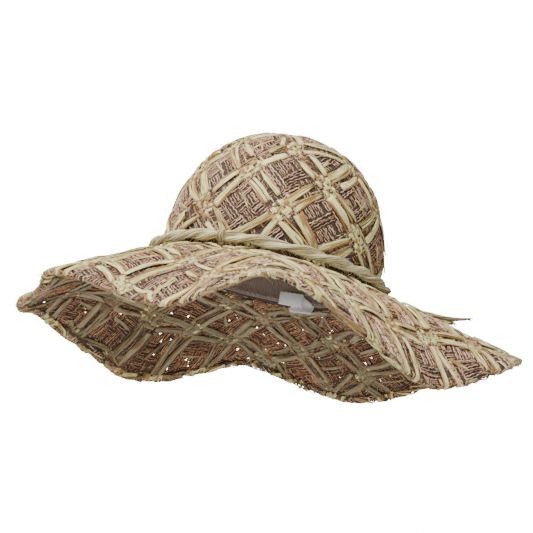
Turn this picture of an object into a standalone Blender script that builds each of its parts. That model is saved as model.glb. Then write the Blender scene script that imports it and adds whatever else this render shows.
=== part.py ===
"""A floppy straw sun hat: woven crown, wavy brim, twisted rope hatband, sweatband and sewn labels.

Metres, +Z up through the crown, the wearer's face toward -Y. The origin is the centre of the
head opening, level with the seam where the crown meets the brim. Every horizontal outline is the
same head oval, given by an angle that runs from +X (the right side) toward +Y (the back).
"""

import math

import bmesh
import bpy
from mathutils import Vector

GAP = 0.0003                      # clearance between two pieces that touch
SHARP_ANGLE = 40                  # degrees between two faces that meet at a crease

# Crown and brim, both woven straw
CROWN_HALF_WIDTH = 0.090
CROWN_HALF_LENGTH = 0.1025
CROWN_HEIGHT = 0.116
CROWN_ROUNDNESS = 2.4             # 2 is an ellipsoid, higher is squarer at the shoulder
STRAW_THICKNESS = 0.002
CROWN_COLUMNS = 44
CROWN_ROWS = 10
BRIM_COLUMNS = 90
HEM_SHARE = 0.93                  # of the way out to the brim's edge
BRIM_ROWS = (0.0, 0.12, 0.27, 0.43, 0.6, 0.77, HEM_SHARE, 1.0)

# The brim's wave: angle in degrees, then how far the edge reaches out from the crown, how far it
# drops below the seam, and the slope in degrees at which the brim leaves the crown.
BRIM_WAVE = (
    (0, 0.120, 0.0190, 8), (12, 0.121, 0.0130, 6), (27, 0.120, 0.0190, 8),
    (41, 0.118, 0.0300, 12), (52, 0.113, 0.0460, 14), (64, 0.109, 0.0550, 14),
    (78, 0.113, 0.0460, 12), (91, 0.116, 0.0390, 10), (103, 0.107, 0.0590, 14),
    (114, 0.096, 0.0750, 16), (125, 0.092, 0.0800, 18), (134, 0.101, 0.0680, 18),
    (146, 0.105, 0.0610, 16), (157, 0.107, 0.0550, 16), (168, 0.106, 0.0600, 18),
    (178, 0.102, 0.0610, 22), (187, 0.095, 0.0600, 28), (196, 0.091, 0.0600, 32),
    (205, 0.093, 0.0590, 32), (213, 0.102, 0.0530, 28), (222, 0.111, 0.0530, 20),
    (234, 0.107, 0.0590, 16), (244, 0.102, 0.0670, 16), (253, 0.103, 0.0650, 14),
    (261, 0.111, 0.0510, 12), (269, 0.117, 0.0360, 10), (279, 0.115, 0.0420, 10),
    (287, 0.110, 0.0530, 12), (297, 0.103, 0.0650, 14), (308, 0.097, 0.0735, 14),
    (319, 0.100, 0.0700, 12), (331, 0.112, 0.0500, 10), (345, 0.118, 0.0310, 9),
)
EDGE_ROLL_RADIUS = 0.0019
HEM_THREAD_RADIUS = 0.0004

# Hatband: a rope of two twisted strands whose ends meet in a knot at the right, toward the back
ROPE_OFFSET = 0.0068              # rope centre line, outside the crown's base
ROPE_HEIGHT = 0.0067
ROPE_TURNS = 10                   # twists in one trip round the crown
STRAND_RADIUS = 0.0024
STRAND_ORBIT = 0.0026             # distance of each strand's centre from the rope's
POINTS_PER_TURN = 11
KNOT_ANGLE = 28
ROPE_END_ANGLE = 7.2              # the rope stops this far short of the knot's middle, each side
KNOT_RING = 0.0062
KNOT_ORBIT = 0.0033
KNOT_RADIUS = 0.0026
KNOT_OFFSET = 0.0070
KNOT_HEIGHT = 0.0135
KNOT_POINTS = 48
KEEPER_ANGLES = (92, 160, 245)
KEEPER_RADIUS = 0.0053
KEEPER_THICKNESS = 0.0007
KEEPER_WIDTH = 0.0045
KEEPER_SIDES = 14

# The strands' free ends, from the knot out over the brim
TAIL_A_RADIUS = 0.0019
TAIL_A_ROUTE = (
    (0.0925, 0.0535, 0.0085), (0.0985, 0.0475, 0.0035), (0.1045, 0.0390, 0.0014),
    (0.1130, 0.0220, 0.0004), (0.1220, 0.0020, -0.0012), (0.1310, -0.0160, -0.0034),
    (0.1400, -0.0300, -0.0063), (0.1500, -0.0380, -0.0071), (0.1600, -0.0410, -0.0055),
)
TAIL_B_RADIUS = 0.0024
TAIL_B_ROUTE = (
    (0.0900, 0.0600, 0.0085), (0.0970, 0.0585, 0.0040), (0.1050, 0.0500, 0.0016),
    (0.1140, 0.0380, 0.0014), (0.1260, 0.0190, 0.0003), (0.1370, 0.0010, -0.0028),
    (0.1450, -0.0130, -0.0055), (0.1510, -0.0270, -0.0082),
)
TAIL_POINT_SPACING = 2.4          # in diameters
ROUTE_STEPS = 20                  # between two points of a route, to measure along it

# Sweatband and labels, sewn inside the head opening
SWEATBAND_HEIGHT = 0.028
SWEATBAND_THICKNESS = 0.001
SWEATBAND_COLUMNS = 72
SWEATBAND_SEAM_ANGLE = 55
SWEATBAND_LAP = 6                 # degrees by which its end laps over its start
SEAM_THREAD_RADIUS = 0.0003
SEAM_THREAD_HEIGHTS = {"sweatband_lower_thread": 0.002, "sweatband_upper_thread": 0.025}
LABEL_ANGLE = 73.4
LABEL_THICKNESS = 0.0005
LABEL_STANDOFF = 0.0026           # from the sweatband to the label nearest it
LABEL_HANG = 12                   # degrees by which a label hangs away from the sweatband
BRAND_LABEL_SIZE = (0.021, 0.012)
CARE_LABEL_SIZE = (0.020, 0.0175)
LABEL_TOP = 0.0086
CARE_LABEL_SHIFT = 0.0055         # sideways, toward the sweatband's seam
LABEL_STITCH_RADIUS = 0.0003
LABEL_STITCH_SHARES = (-1.0, -0.5, 0.0, 0.5, 1.0, 1.4)    # of the brand label's half width


def clear_scene():
    for old in list(bpy.data.objects):
        bpy.data.objects.remove(old, do_unlink=True)


def add_material(target, name, colour, roughness):
    material = bpy.data.materials.new(name)
    material.use_nodes = True
    shader = material.node_tree.nodes["Principled BSDF"]
    shader.inputs["Base Color"].default_value = (*colour, 1.0)
    shader.inputs["Roughness"].default_value = roughness
    shader.inputs["Metallic"].default_value = 0.0
    target.materials.append(material)


def add_mesh_object(name, mesh_builder, colour, roughness, location=(0, 0, 0)):
    """An object from a finished bmesh, with smooth round faces and its own material."""
    mesh = bpy.data.meshes.new(name)
    bmesh.ops.recalc_face_normals(mesh_builder, faces=mesh_builder.faces)
    mesh_builder.to_mesh(mesh)
    mesh_builder.free()
    mesh.shade_smooth()
    mesh.set_sharp_from_angle(angle=math.radians(SHARP_ANGLE))
    add_material(mesh, name, colour, roughness)
    shape = bpy.data.objects.new(name, mesh)
    shape.location = location
    bpy.context.scene.collection.objects.link(shape)
    return shape


def add_tube_object(name, points, radius, closed, resolution, colour, roughness):
    """A round tube along the points: a curve with a bevel, and filled caps where it is open."""
    curve = bpy.data.curves.new(name, "CURVE")
    curve.dimensions = "3D"
    spline = curve.splines.new("POLY")
    spline.points.add(len(points) - 1)
    for point, place in zip(spline.points, points):
        point.co = (*place, 1.0)
    spline.use_cyclic_u = closed
    curve.bevel_depth = radius
    curve.bevel_resolution = resolution
    curve.use_fill_caps = not closed
    add_material(curve, name, colour, roughness)
    shape = bpy.data.objects.new(name, curve)
    bpy.context.scene.collection.objects.link(shape)
    return shape


def hermite(before, start, end, after, share):
    """Smooth value between start and end; each neighbour is (position, value)."""
    span = end[0] - start[0]
    slope_in = (end[1] - before[1]) / (end[0] - before[0])
    slope_out = (after[1] - start[1]) / (after[0] - start[0])
    square = share * share
    cube = square * share
    return (
        (2 * cube - 3 * square + 1) * start[1]
        + (cube - 2 * square + share) * span * slope_in
        + (3 * square - 2 * cube) * end[1]
        + (cube - square) * span * slope_out
    )


def brim_wave(angle):
    """Reach, drop and leaving slope of the brim at this angle in degrees."""
    angle %= 360
    count = len(BRIM_WAVE)
    index = max(i for i in range(count) if BRIM_WAVE[i][0] <= angle)
    rows = []
    for step in (-1, 0, 1, 2):
        laps, place = divmod(index + step, count)
        row = BRIM_WAVE[place]
        rows.append((row[0] + 360 * laps, *row[1:]))
    share = (angle - rows[1][0]) / (rows[2][0] - rows[1][0])
    return [hermite(*[(row[0], row[k]) for row in rows], share) for k in (1, 2, 3)]


def oval(angle, offset=0.0):
    """A point on the head oval, moved outward by offset, and the outward direction there."""
    turn = math.radians(angle)
    outward = Vector((math.cos(turn) / CROWN_HALF_WIDTH, math.sin(turn) / CROWN_HALF_LENGTH, 0))
    outward.normalize()
    base = Vector((CROWN_HALF_WIDTH * math.cos(turn), CROWN_HALF_LENGTH * math.sin(turn), 0))
    return base + outward * offset, outward


def crown_narrowing(height):
    """Share of the base width that the crown has at this height."""
    share = 1 - (height / CROWN_HEIGHT) ** CROWN_ROUNDNESS
    return share ** (1 / CROWN_ROUNDNESS)


def crown_wall(angle, height, inset):
    """A point on the crown's wall, inset from its outer face."""
    base, outward = oval(angle)
    point = base * crown_narrowing(height) - outward * inset
    point.z = height
    return point


def brim_surface(angle, share):
    """Point, outward tangent and upward normal of the brim's top face, share of the way out."""
    reach, drop, slope = brim_wave(angle)
    lean = math.tan(math.radians(slope))
    base, outward = oval(angle, reach * share)
    base.z = -(share * (1 - share) * reach * lean + share * share * drop) - GAP
    steepness = -((1 - 2 * share) * lean + 2 * share * drop / reach)
    tangent = (outward + Vector((0, 0, steepness))).normalized()
    sideways = Vector((-outward.y, outward.x, 0))
    return base, tangent, tangent.cross(sideways).normalized()


def skin(rows, closed_rows=True):
    """A bmesh sheet through rows of points, one face between neighbours."""
    builder = bmesh.new()
    verts = [[builder.verts.new(point) for point in row] for row in rows]
    columns = len(rows[0])
    for lower, upper in zip(verts, verts[1:]):
        for i in range(columns if closed_rows else columns - 1):
            j = (i + 1) % columns
            builder.faces.new((lower[i], lower[j], upper[j], upper[i]))
    return builder, verts


def thicken(shape, thickness):
    """Gives a sheet its thickness, on the side away from its faces' normals."""
    solidify = shape.modifiers.new("thickness", "SOLIDIFY")
    solidify.thickness = thickness
    solidify.offset = -1
    solidify.use_even_offset = True


def loft(loops, closed):
    """A closed solid through equal loops of points, round a ring or with flat ends."""
    builder, verts = skin(loops)
    if closed:
        first, last = verts[0], verts[-1]
        sides = len(first)
        for i in range(sides):
            j = (i + 1) % sides
            builder.faces.new((last[i], last[j], first[j], first[i]))
    else:
        builder.faces.new(verts[0][::-1])
        builder.faces.new(verts[-1])
    return builder


def smooth_route(route, spacing):
    """Points about spacing apart on a smooth curve through the route's points."""
    knots = [Vector(point) for point in route]
    before = knots[0] * 2 - knots[1]
    after = knots[-1] * 2 - knots[-2]
    padded = [before, *knots, after]
    fine = []
    for a, b, c, d in zip(padded, padded[1:], padded[2:], padded[3:]):
        for step in range(ROUTE_STEPS):
            share = step / ROUTE_STEPS
            values = [hermite((-1, a[k]), (0, b[k]), (1, c[k]), (2, d[k]), share) for k in range(3)]
            fine.append(Vector(values))
    fine.append(knots[-1])
    length = sum((b - a).length for a, b in zip(fine, fine[1:]))
    count = max(2, round(length / spacing))
    points = [fine[0]]
    travelled = 0.0
    for a, b in zip(fine, fine[1:]):
        step = (b - a).length
        while travelled + step >= len(points) * length / count and len(points) < count:
            points.append(a.lerp(b, (len(points) * length / count - travelled) / step))
        travelled += step
    points.append(fine[-1])
    return points


def build_crown():
    columns = [360 * i / CROWN_COLUMNS for i in range(CROWN_COLUMNS)]
    rows = []
    for k in range(CROWN_ROWS):
        climb = math.radians(90 * k / CROWN_ROWS)
        height = CROWN_HEIGHT * math.sin(climb) ** (2 / CROWN_ROUNDNESS)
        rows.append([crown_wall(angle, height, 0.0) for angle in columns])
    builder, verts = skin(rows)
    apex = builder.verts.new((0, 0, CROWN_HEIGHT))
    for i in range(CROWN_COLUMNS):
        builder.faces.new((verts[-1][i], verts[-1][(i + 1) % CROWN_COLUMNS], apex))
    crown = add_mesh_object("crown_shell", builder, (0.55, 0.44, 0.33), 0.75)
    thicken(crown, STRAW_THICKNESS)


def brim_angles():
    return [360 * i / BRIM_COLUMNS for i in range(BRIM_COLUMNS)]


def build_brim():
    margin = [oval(angle, -STRAW_THICKNESS)[0] - Vector((0, 0, GAP)) for angle in brim_angles()]
    rows = [margin]
    for share in BRIM_ROWS:
        rows.append([brim_surface(angle, share)[0] for angle in brim_angles()])
    builder, _ = skin(rows)
    brim = add_mesh_object("brim_sheet", builder, (0.55, 0.44, 0.33), 0.75)
    if brim.data.polygons[0].normal.z < 0:
        brim.data.flip_normals()
    thicken(brim, STRAW_THICKNESS)


def build_edge_roll():
    """The rolled border that finishes the brim's edge."""
    points = []
    for angle in brim_angles():
        edge, tangent, normal = brim_surface(angle, 1.0)
        middle = edge - normal * STRAW_THICKNESS / 2
        points.append(middle + tangent * (EDGE_ROLL_RADIUS + 2 * GAP))
    add_tube_object("brim_edge_roll", points, EDGE_ROLL_RADIUS, True, 1, (0.62, 0.55, 0.38), 0.6)


def build_hem_thread():
    points = []
    for angle in brim_angles():
        place, _, normal = brim_surface(angle, HEM_SHARE)
        points.append(place + normal * (HEM_THREAD_RADIUS + 2 * GAP))
    add_tube_object("brim_hem_thread", points, HEM_THREAD_RADIUS, True, 0, (0.7, 0.66, 0.55), 0.6)


def rope_centre(angle):
    point, outward = oval(angle, ROPE_OFFSET)
    point.z = ROPE_HEIGHT
    return point, outward


def build_rope():
    """Two strands laid round each other, from one side of the knot round to the other."""
    start = KNOT_ANGLE + ROPE_END_ANGLE
    sweep = 360 - 2 * ROPE_END_ANGLE
    count = ROPE_TURNS * POINTS_PER_TURN
    for strand, phase in (("a", 0.0), ("b", math.pi)):
        points = []
        for i in range(count + 1):
            centre, outward = rope_centre(start + sweep * i / count)
            twist = phase + 2 * math.pi * i / POINTS_PER_TURN
            side = outward * math.cos(twist) + Vector((0, 0, math.sin(twist)))
            points.append(centre + side * STRAND_ORBIT)
        name = f"hatband_strand_{strand}"
        add_tube_object(name, points, STRAND_RADIUS, False, 1, (0.60, 0.53, 0.36), 0.45)


def build_knot():
    """The knot that joins the rope's ends: a trefoil lying flat against the crown's side."""
    centre, outward = oval(KNOT_ANGLE, KNOT_OFFSET)
    centre.z = KNOT_HEIGHT
    sideways = Vector((-outward.y, outward.x, 0))
    points = []
    for i in range(KNOT_POINTS):
        turn = 2 * math.pi * i / KNOT_POINTS
        reach = KNOT_RING + KNOT_ORBIT * math.cos(3 * turn)
        flat = sideways * math.cos(2 * turn) + Vector((0, 0, math.sin(2 * turn)))
        points.append(centre + flat * reach + outward * KNOT_ORBIT * math.sin(3 * turn))
    add_tube_object("hatband_knot", points, KNOT_RADIUS, True, 1, (0.58, 0.50, 0.33), 0.5)


def build_keepers():
    """Flat raffia loops that tack the rope to the crown."""
    for number, angle in enumerate(KEEPER_ANGLES, start=1):
        centre, outward = rope_centre(angle)
        along = Vector((-outward.y, outward.x, 0))
        outer = KEEPER_RADIUS + KEEPER_THICKNESS
        section = (
            (KEEPER_RADIUS, -KEEPER_WIDTH / 2), (outer, -KEEPER_WIDTH / 2),
            (outer, KEEPER_WIDTH / 2), (KEEPER_RADIUS, KEEPER_WIDTH / 2),
        )
        loops = []
        for i in range(KEEPER_SIDES):
            turn = 2 * math.pi * i / KEEPER_SIDES
            spoke = outward * math.cos(turn) + Vector((0, 0, math.sin(turn)))
            loops.append([centre + spoke * radius + along * shift for radius, shift in section])
        name = f"hatband_keeper_{number}"
        add_mesh_object(name, loft(loops, True), (0.66, 0.62, 0.46), 0.5)


def build_tails():
    """The rope's loose ends, which lie on the brim beside each other."""
    tails = (("a", TAIL_A_ROUTE, TAIL_A_RADIUS), ("b", TAIL_B_ROUTE, TAIL_B_RADIUS))
    for letter, route, radius in tails:
        points = smooth_route(route, TAIL_POINT_SPACING * 2 * radius)
        name = f"hatband_tail_{letter}"
        add_tube_object(name, points, radius, False, 2, (0.60, 0.53, 0.36), 0.5)


def sweatband_inset(angle_past_seam, extra=0.0):
    """How far inside the crown's outer face the sweatband's outer face lies."""
    lap_start = 360 - 2 * SWEATBAND_LAP
    share = min(max((angle_past_seam - lap_start) / SWEATBAND_LAP, 0.0), 1.0)
    lap = share * (SWEATBAND_THICKNESS + 2 * GAP)
    return STRAW_THICKNESS + 2 * GAP + lap + extra


def sweatband_angles():
    """Angles past the seam of the sweatband's columns, its lap included."""
    total = 360 + SWEATBAND_LAP
    return [total * i / SWEATBAND_COLUMNS for i in range(SWEATBAND_COLUMNS + 1)]


def build_sweatband():
    loops = []
    for past in sweatband_angles():
        angle = SWEATBAND_SEAM_ANGLE + past
        near = sweatband_inset(past)
        far = near + SWEATBAND_THICKNESS
        loops.append([
            crown_wall(angle, 0.0, near), crown_wall(angle, 0.0, far),
            crown_wall(angle, SWEATBAND_HEIGHT / 2, far), crown_wall(angle, SWEATBAND_HEIGHT, far),
            crown_wall(angle, SWEATBAND_HEIGHT, near), crown_wall(angle, SWEATBAND_HEIGHT / 2, near),
        ])
    add_mesh_object("sweatband", loft(loops, False), (0.16, 0.12, 0.10), 0.9)


def build_sweatband_threads():
    """The rows of stitching that hold the sweatband, one near each edge, short of its lap."""
    usable = [past for past in sweatband_angles() if SWEATBAND_LAP < past < 360 - 3 * SWEATBAND_LAP]
    for name, height in SEAM_THREAD_HEIGHTS.items():
        points = []
        for past in usable:
            inset = sweatband_inset(past, SWEATBAND_THICKNESS + SEAM_THREAD_RADIUS + 2 * GAP)
            points.append(crown_wall(SWEATBAND_SEAM_ANGLE + past, height, inset))
        add_tube_object(name, points, SEAM_THREAD_RADIUS, False, 0, (0.22, 0.17, 0.14), 0.7)


def label_frame():
    """The labels' top middle on the sweatband, and their sideways, inward and down directions."""
    _, outward = oval(LABEL_ANGLE)
    inward = -outward
    sideways = Vector((inward.y, -inward.x, 0))
    if sideways.x < 0:
        sideways = -sideways
    inset = sweatband_inset(0, SWEATBAND_THICKNESS + LABEL_STANDOFF)
    top = crown_wall(LABEL_ANGLE, LABEL_TOP, inset)
    hang = math.radians(LABEL_HANG)
    down = inward * math.sin(hang) - Vector((0, 0, math.cos(hang)))
    return top, sideways, inward, down


def build_label(name, size, shift, layer, colour):
    """A cloth label with its origin on the sewn line, along the front label's top, it swings from."""
    top, sideways, inward, down = label_frame()
    face = sideways.cross(down).normalized()
    if face.dot(inward) < 0:
        face = -face
    width, length = size
    pitch = LABEL_THICKNESS + 2 * GAP
    hinge = top + sideways * shift + face * pitch
    loops = []
    for share in (0.0, 1.0):
        middle = down * (length * share) + face * pitch * (layer - 1)
        half = sideways * width / 2
        near = face * LABEL_THICKNESS / 2
        loops.append([middle - half - near, middle + half - near, middle + half + near,
                      middle - half + near])
    return add_mesh_object(name, loft(loops, False), colour, 0.5, location=hinge)


def build_labels():
    build_label("care_label", CARE_LABEL_SIZE, CARE_LABEL_SHIFT, 0, (0.74, 0.74, 0.76))
    build_label("brand_label", BRAND_LABEL_SIZE, 0.0, 1, (0.70, 0.70, 0.72))


def build_label_stitch():
    """The thread that sews the labels' top edges to the sweatband."""
    top, sideways, inward, _ = label_frame()
    lift = Vector((0, 0, LABEL_STITCH_RADIUS + 2 * GAP))
    reach = BRAND_LABEL_SIZE[0] / 2
    points = [top + lift + sideways * reach * share for share in LABEL_STITCH_SHARES]
    add_tube_object("label_stitch", points, LABEL_STITCH_RADIUS, False, 0, (0.5, 0.48, 0.45), 0.7)


clear_scene()
build_crown()
build_brim()
build_edge_roll()
build_hem_thread()
build_rope()
build_knot()
build_keepers()
build_tails()
build_sweatband()
build_sweatband_threads()
build_labels()
build_label_stitch()
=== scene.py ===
import math

import bpy
import numpy as np
from mathutils import Matrix, Vector


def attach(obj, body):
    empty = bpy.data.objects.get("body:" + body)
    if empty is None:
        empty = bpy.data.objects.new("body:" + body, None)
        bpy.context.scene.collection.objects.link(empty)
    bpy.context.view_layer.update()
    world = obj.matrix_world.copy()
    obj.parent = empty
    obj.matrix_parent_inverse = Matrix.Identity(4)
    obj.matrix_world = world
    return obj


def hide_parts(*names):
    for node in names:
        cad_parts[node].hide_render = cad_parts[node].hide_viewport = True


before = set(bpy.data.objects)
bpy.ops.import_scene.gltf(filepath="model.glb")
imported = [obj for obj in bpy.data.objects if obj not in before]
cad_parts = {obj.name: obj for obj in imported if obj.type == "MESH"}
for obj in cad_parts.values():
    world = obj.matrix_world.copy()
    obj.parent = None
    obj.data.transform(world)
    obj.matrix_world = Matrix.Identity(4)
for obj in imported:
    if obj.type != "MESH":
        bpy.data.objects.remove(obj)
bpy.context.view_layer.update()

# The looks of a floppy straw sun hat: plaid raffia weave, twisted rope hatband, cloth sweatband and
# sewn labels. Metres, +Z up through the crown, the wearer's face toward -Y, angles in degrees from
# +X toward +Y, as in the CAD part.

RANDOM = np.random.default_rng(20)

# ---------------------------------------------------------------- sizes that the CAD part has too
GAP = 0.0003
CROWN_HALF_WIDTH = 0.090
CROWN_HALF_LENGTH = 0.1025
CROWN_HEIGHT = 0.116
CROWN_ROUNDNESS = 2.4
STRAW_THICKNESS = 0.002
BRIM_WAVE = (
    (0, 0.120, 0.0190, 8), (12, 0.121, 0.0130, 6), (27, 0.120, 0.0190, 8),
    (41, 0.118, 0.0300, 12), (52, 0.113, 0.0460, 14), (64, 0.109, 0.0550, 14),
    (78, 0.113, 0.0460, 12), (91, 0.116, 0.0390, 10), (103, 0.107, 0.0590, 14),
    (114, 0.096, 0.0750, 16), (125, 0.092, 0.0800, 18), (134, 0.101, 0.0680, 18),
    (146, 0.105, 0.0610, 16), (157, 0.107, 0.0550, 16), (168, 0.106, 0.0600, 18),
    (178, 0.102, 0.0610, 22), (187, 0.095, 0.0600, 28), (196, 0.091, 0.0600, 32),
    (205, 0.093, 0.0590, 32), (213, 0.102, 0.0530, 28), (222, 0.111, 0.0530, 20),
    (234, 0.107, 0.0590, 16), (244, 0.102, 0.0670, 16), (253, 0.103, 0.0650, 14),
    (261, 0.111, 0.0510, 12), (269, 0.117, 0.0360, 10), (279, 0.115, 0.0420, 10),
    (287, 0.110, 0.0530, 12), (297, 0.103, 0.0650, 14), (308, 0.097, 0.0735, 14),
    (319, 0.100, 0.0700, 12), (331, 0.112, 0.0500, 10), (345, 0.118, 0.0310, 9),
)
ROPE_OFFSET = 0.0068              # rope centre line, outside the crown's base
ROPE_HEIGHT = 0.0067
ROPE_TURNS = 10                   # twists in one trip round the crown
STRAND_RADIUS = 0.0024
STRAND_ORBIT = 0.0026
KNOT_ANGLE = 28
ROPE_END_ANGLE = 7.2              # the rope reaches this far short of the knot's middle, each side
KNOT_RING = 0.0062
KNOT_ORBIT = 0.0033
KNOT_RADIUS = 0.0026
KNOT_OFFSET = 0.0070
KNOT_HEIGHT = 0.0135
KEEPER_ANGLES = (92, 160, 245)
KEEPER_WIDTH = 0.0045
TAIL_A_RADIUS = 0.0019
TAIL_A_ROUTE = (
    (0.0925, 0.0535, 0.0085), (0.0985, 0.0475, 0.0035), (0.1045, 0.0390, 0.0014),
    (0.1130, 0.0220, 0.0004), (0.1220, 0.0020, -0.0012), (0.1310, -0.0160, -0.0034),
    (0.1400, -0.0300, -0.0063), (0.1500, -0.0380, -0.0071), (0.1600, -0.0410, -0.0055),
)
TAIL_B_RADIUS = 0.0024
TAIL_B_ROUTE = (
    (0.0900, 0.0600, 0.0085), (0.0970, 0.0585, 0.0040), (0.1050, 0.0500, 0.0016),
    (0.1140, 0.0380, 0.0014), (0.1260, 0.0190, 0.0003), (0.1370, 0.0010, -0.0028),
    (0.1450, -0.0130, -0.0055), (0.1510, -0.0270, -0.0082),
)
HEM_SHARE = 0.93                  # share of the way out at which the brim's hem is sewn
SWEATBAND_HEIGHT = 0.028
SWEATBAND_THICKNESS = 0.001
SWEATBAND_SEAM_ANGLE = 55
SWEATBAND_LAP = 6
SEAM_THREAD_HEIGHTS = {"sweatband_lower_thread": 0.002, "sweatband_upper_thread": 0.025}
LABEL_ANGLE = 73.4
LABEL_TOP = 0.0086
LABEL_STANDOFF = 0.0026
LABEL_HANG = 12
LABEL_THICKNESS = 0.0005
BRAND_LABEL_SIZE = (0.021, 0.012)
CARE_LABEL_SIZE = (0.020, 0.0175)
CARE_LABEL_SHIFT = 0.0055

# ---------------------------------------------------------------- the weave
WALL_COLUMNS = 16                 # lattice units round the crown's wall
WALL_ROWS = 3                     # lattice units from the seam up to the crown's flat top
WALL_ROW = 0.0335
CAP_UNITS = WALL_COLUMNS // 4     # the top is a square of this many units each way
WALL_TURN = 22.0                  # where the lattice starts, in degrees
BRIM_PITCH = 0.0445               # from one knot of the plaid to the next
BRIM_TURN = 37.0
BRIM_SHIFT = (-0.0114, 0.0113)
FOLD_START = 0.0020               # past the brim's outline, where the weave turns under
FOLD_RADIUS = 0.0011
FOLD_WIDTH = 0.0100               # of weave turned in beneath the edge
KNOT_LONG = (3, 0.0043, 0.0120, 0.0042)    # a knot's long strips: how many, pitch, reach and width
KNOT_SHORT = (5, 0.0043, 0.0078, 0.0040)   # and the short ones that cross them
KNOT_STEP = 0.0012                # between the points of a knot's strip
KNOT_THICKNESS = 0.0010
KNOT_RISE = 0.0007
KNOT_LOWEST = -0.0001             # of the brim's upper knots, whose strips stay hidden from below
UNDER_KNOT_RISE = 0.00035         # a flatter knot on the brim's underside
KNOT_TWIST = 0.10                 # how askew a knot lies
KNOT_LEAN = 0.09                  # and each of its strips
KNOT_END = 0.0016                 # length of a strip's end, which sinks into the weave
KNOT_SINK = 0.0004
TURNED_SHARE = 0.4                # of the knots, with their long strips the other way
PALE_SHARE = 0.72                 # of a knot's strips, the others being stained ochre
FACE_GAP = 0.0005                 # between the strips of the brim's two faces
BAND_OFFSET = 0.0058              # of each main strip from its band's middle
BAND_EDGE = 0.0084                # half width of a band
BAND_FILL = 0.0076                # half width of the threads that lie under it
STRIP_START = 0.0086              # from a knot's middle to the end of a main strip
STRIP_WIDTH = 0.0057
STRIP_THICKNESS = 0.0011
STRIP_LIFT = 0.0011
STRIP_STEP = 0.0022
STRIP_LIFTS = (0.4, 1.8)          # least and most of a strip's lift, as shares of STRIP_LIFT
STRIP_WIDTHS = (0.70, 1.25)       # and of its width
STRIP_END_PLAY = 0.0022
STRIP_SKEW = 0.0062
STRIP_BOW = 0.0009
TUCK_LENGTH = 0.0018              # of a strip's end, which goes over or under its knot
TUCK_DEPTH = 0.0005
RAISED_SHARE = 0.35               # of the bands, with their ends over the knots
BROKEN_SHARE = 0.25               # of the strips, ending between their knots
SPLIT_SHARE = 0.30                # of the strips, torn lengthwise into two
SPLIT_PARTS = ((-0.27, 0.56), (0.29, 0.50))    # place and width of the two, in strip widths
POINTED_SHARE = 0.40              # of the strips, narrowed to a point at one end
POINT_LENGTHS = (0.006, 0.013)
EDGING_SHARE = 0.75               # of the strips, with a narrow twist of leaf along one side
EDGING_WIDTHS = (0.0012, 0.0024)
MIDDLE_SHARE = 0.3                # of the bands, with an unbroken strand along their middle
MIDDLE_PART = 0.36                # of a broken one's way, the length of each part
MIDDLE_WIDTHS = (0.0010, 0.0019)
BARE_SHARE = 0.45                 # of the bands' ends, with no twist of leaf across them
WRAP_STARTS = (0.0080, 0.0115)    # from a knot's middle
WRAP_REACHES = (0.0060, 0.0090)   # half lengths
WRAP_WIDTHS = (0.0011, 0.0024)
WRAP_RISE = 0.0011
STRAY_SHARE = 0.65                # of the bands, with a spare leaf over the cell beside them
STRAY_OFFSETS = (0.010, 0.034)    # from the band's middle
STRAY_WIDTHS = (0.0014, 0.0048)
STRAY_LIFT = 0.0013
THREAD_PITCH = 0.0020
THREAD_RADIUS = 0.00054
THREAD_STEP = 0.0015
THREAD_RISE = 0.0008
CRINKLE = 0.00034                 # how far a thread's crinkles reach to each side
THREAD_WANDER = 0.00045           # and its slower bends
THREAD_GROUP = 6                  # threads side by side that crinkle in step
PHASE_STEP = 2.4                  # between the crinkles of one group of threads and the next
THREAD_BLOCK = 0.0095             # side of a patch whose upper threads all run one way
PATCHES = 6                       # each way, before their pattern repeats
DROPPED_SHARE = 0.08              # of a cell's threads, left out
BAND_THREADS = 8                  # that run along a band
BAND_CROSS_THREADS = 11           # and across it
BRIM_CELLS = 6                    # of the lattice, from its origin each way
BRIM_CELL_REACH = (0.05, 0.27)    # least and most from the hat's middle to a woven cell's


def oval(angle):
    """Points of the head oval and the outward directions there, for angles in degrees."""
    turn = np.radians(angle)
    base = np.stack([CROWN_HALF_WIDTH * np.cos(turn), CROWN_HALF_LENGTH * np.sin(turn)], -1)
    outward = np.stack([np.cos(turn) / CROWN_HALF_WIDTH, np.sin(turn) / CROWN_HALF_LENGTH], -1)
    return base, outward / np.linalg.norm(outward, axis=-1, keepdims=True)


def unit(vectors):
    return vectors / np.maximum(np.linalg.norm(vectors, axis=-1, keepdims=True), 1e-12)


def hermite(before, start, end, after, share):
    span = end[0] - start[0]
    slope_in = (end[1] - before[1]) / (end[0] - before[0])
    slope_out = (after[1] - start[1]) / (after[0] - start[0])
    square = share * share
    cube = square * share
    return (
        (2 * cube - 3 * square + 1) * start[1]
        + (cube - 2 * square + share) * span * slope_in
        + (3 * square - 2 * cube) * end[1]
        + (cube - square) * span * slope_out
    )


WAVE_STEP = 0.5                   # degrees between the brim table's rows
PROFILE_POINTS = 3000
SEAM_RADIUS = (CROWN_HALF_WIDTH + CROWN_HALF_LENGTH) / 2


def wave_table():
    """The brim's reach, drop and slope at even angles, smooth between BRIM_WAVE's rows."""
    count = len(BRIM_WAVE)
    angles = np.arange(0, 360 + WAVE_STEP / 2, WAVE_STEP)
    rows = []
    for angle in angles % 360:
        index = max(i for i in range(count) if BRIM_WAVE[i][0] <= angle)
        near = []
        for step in (-1, 0, 1, 2):
            laps, place = divmod(index + step, count)
            near.append((BRIM_WAVE[place][0] + 360 * laps, *BRIM_WAVE[place][1:]))
        share = (angle - near[1][0]) / (near[2][0] - near[1][0])
        rows.append([hermite(*[(row[0], row[k]) for row in near], share) for k in (1, 2, 3)])
    return angles, np.array(rows)


WAVE_ANGLES, WAVE_ROWS = wave_table()


def brim_wave(angle):
    turned = np.mod(angle, 360)
    return [np.interp(turned, WAVE_ANGLES, WAVE_ROWS[:, k]) for k in range(3)]


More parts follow.
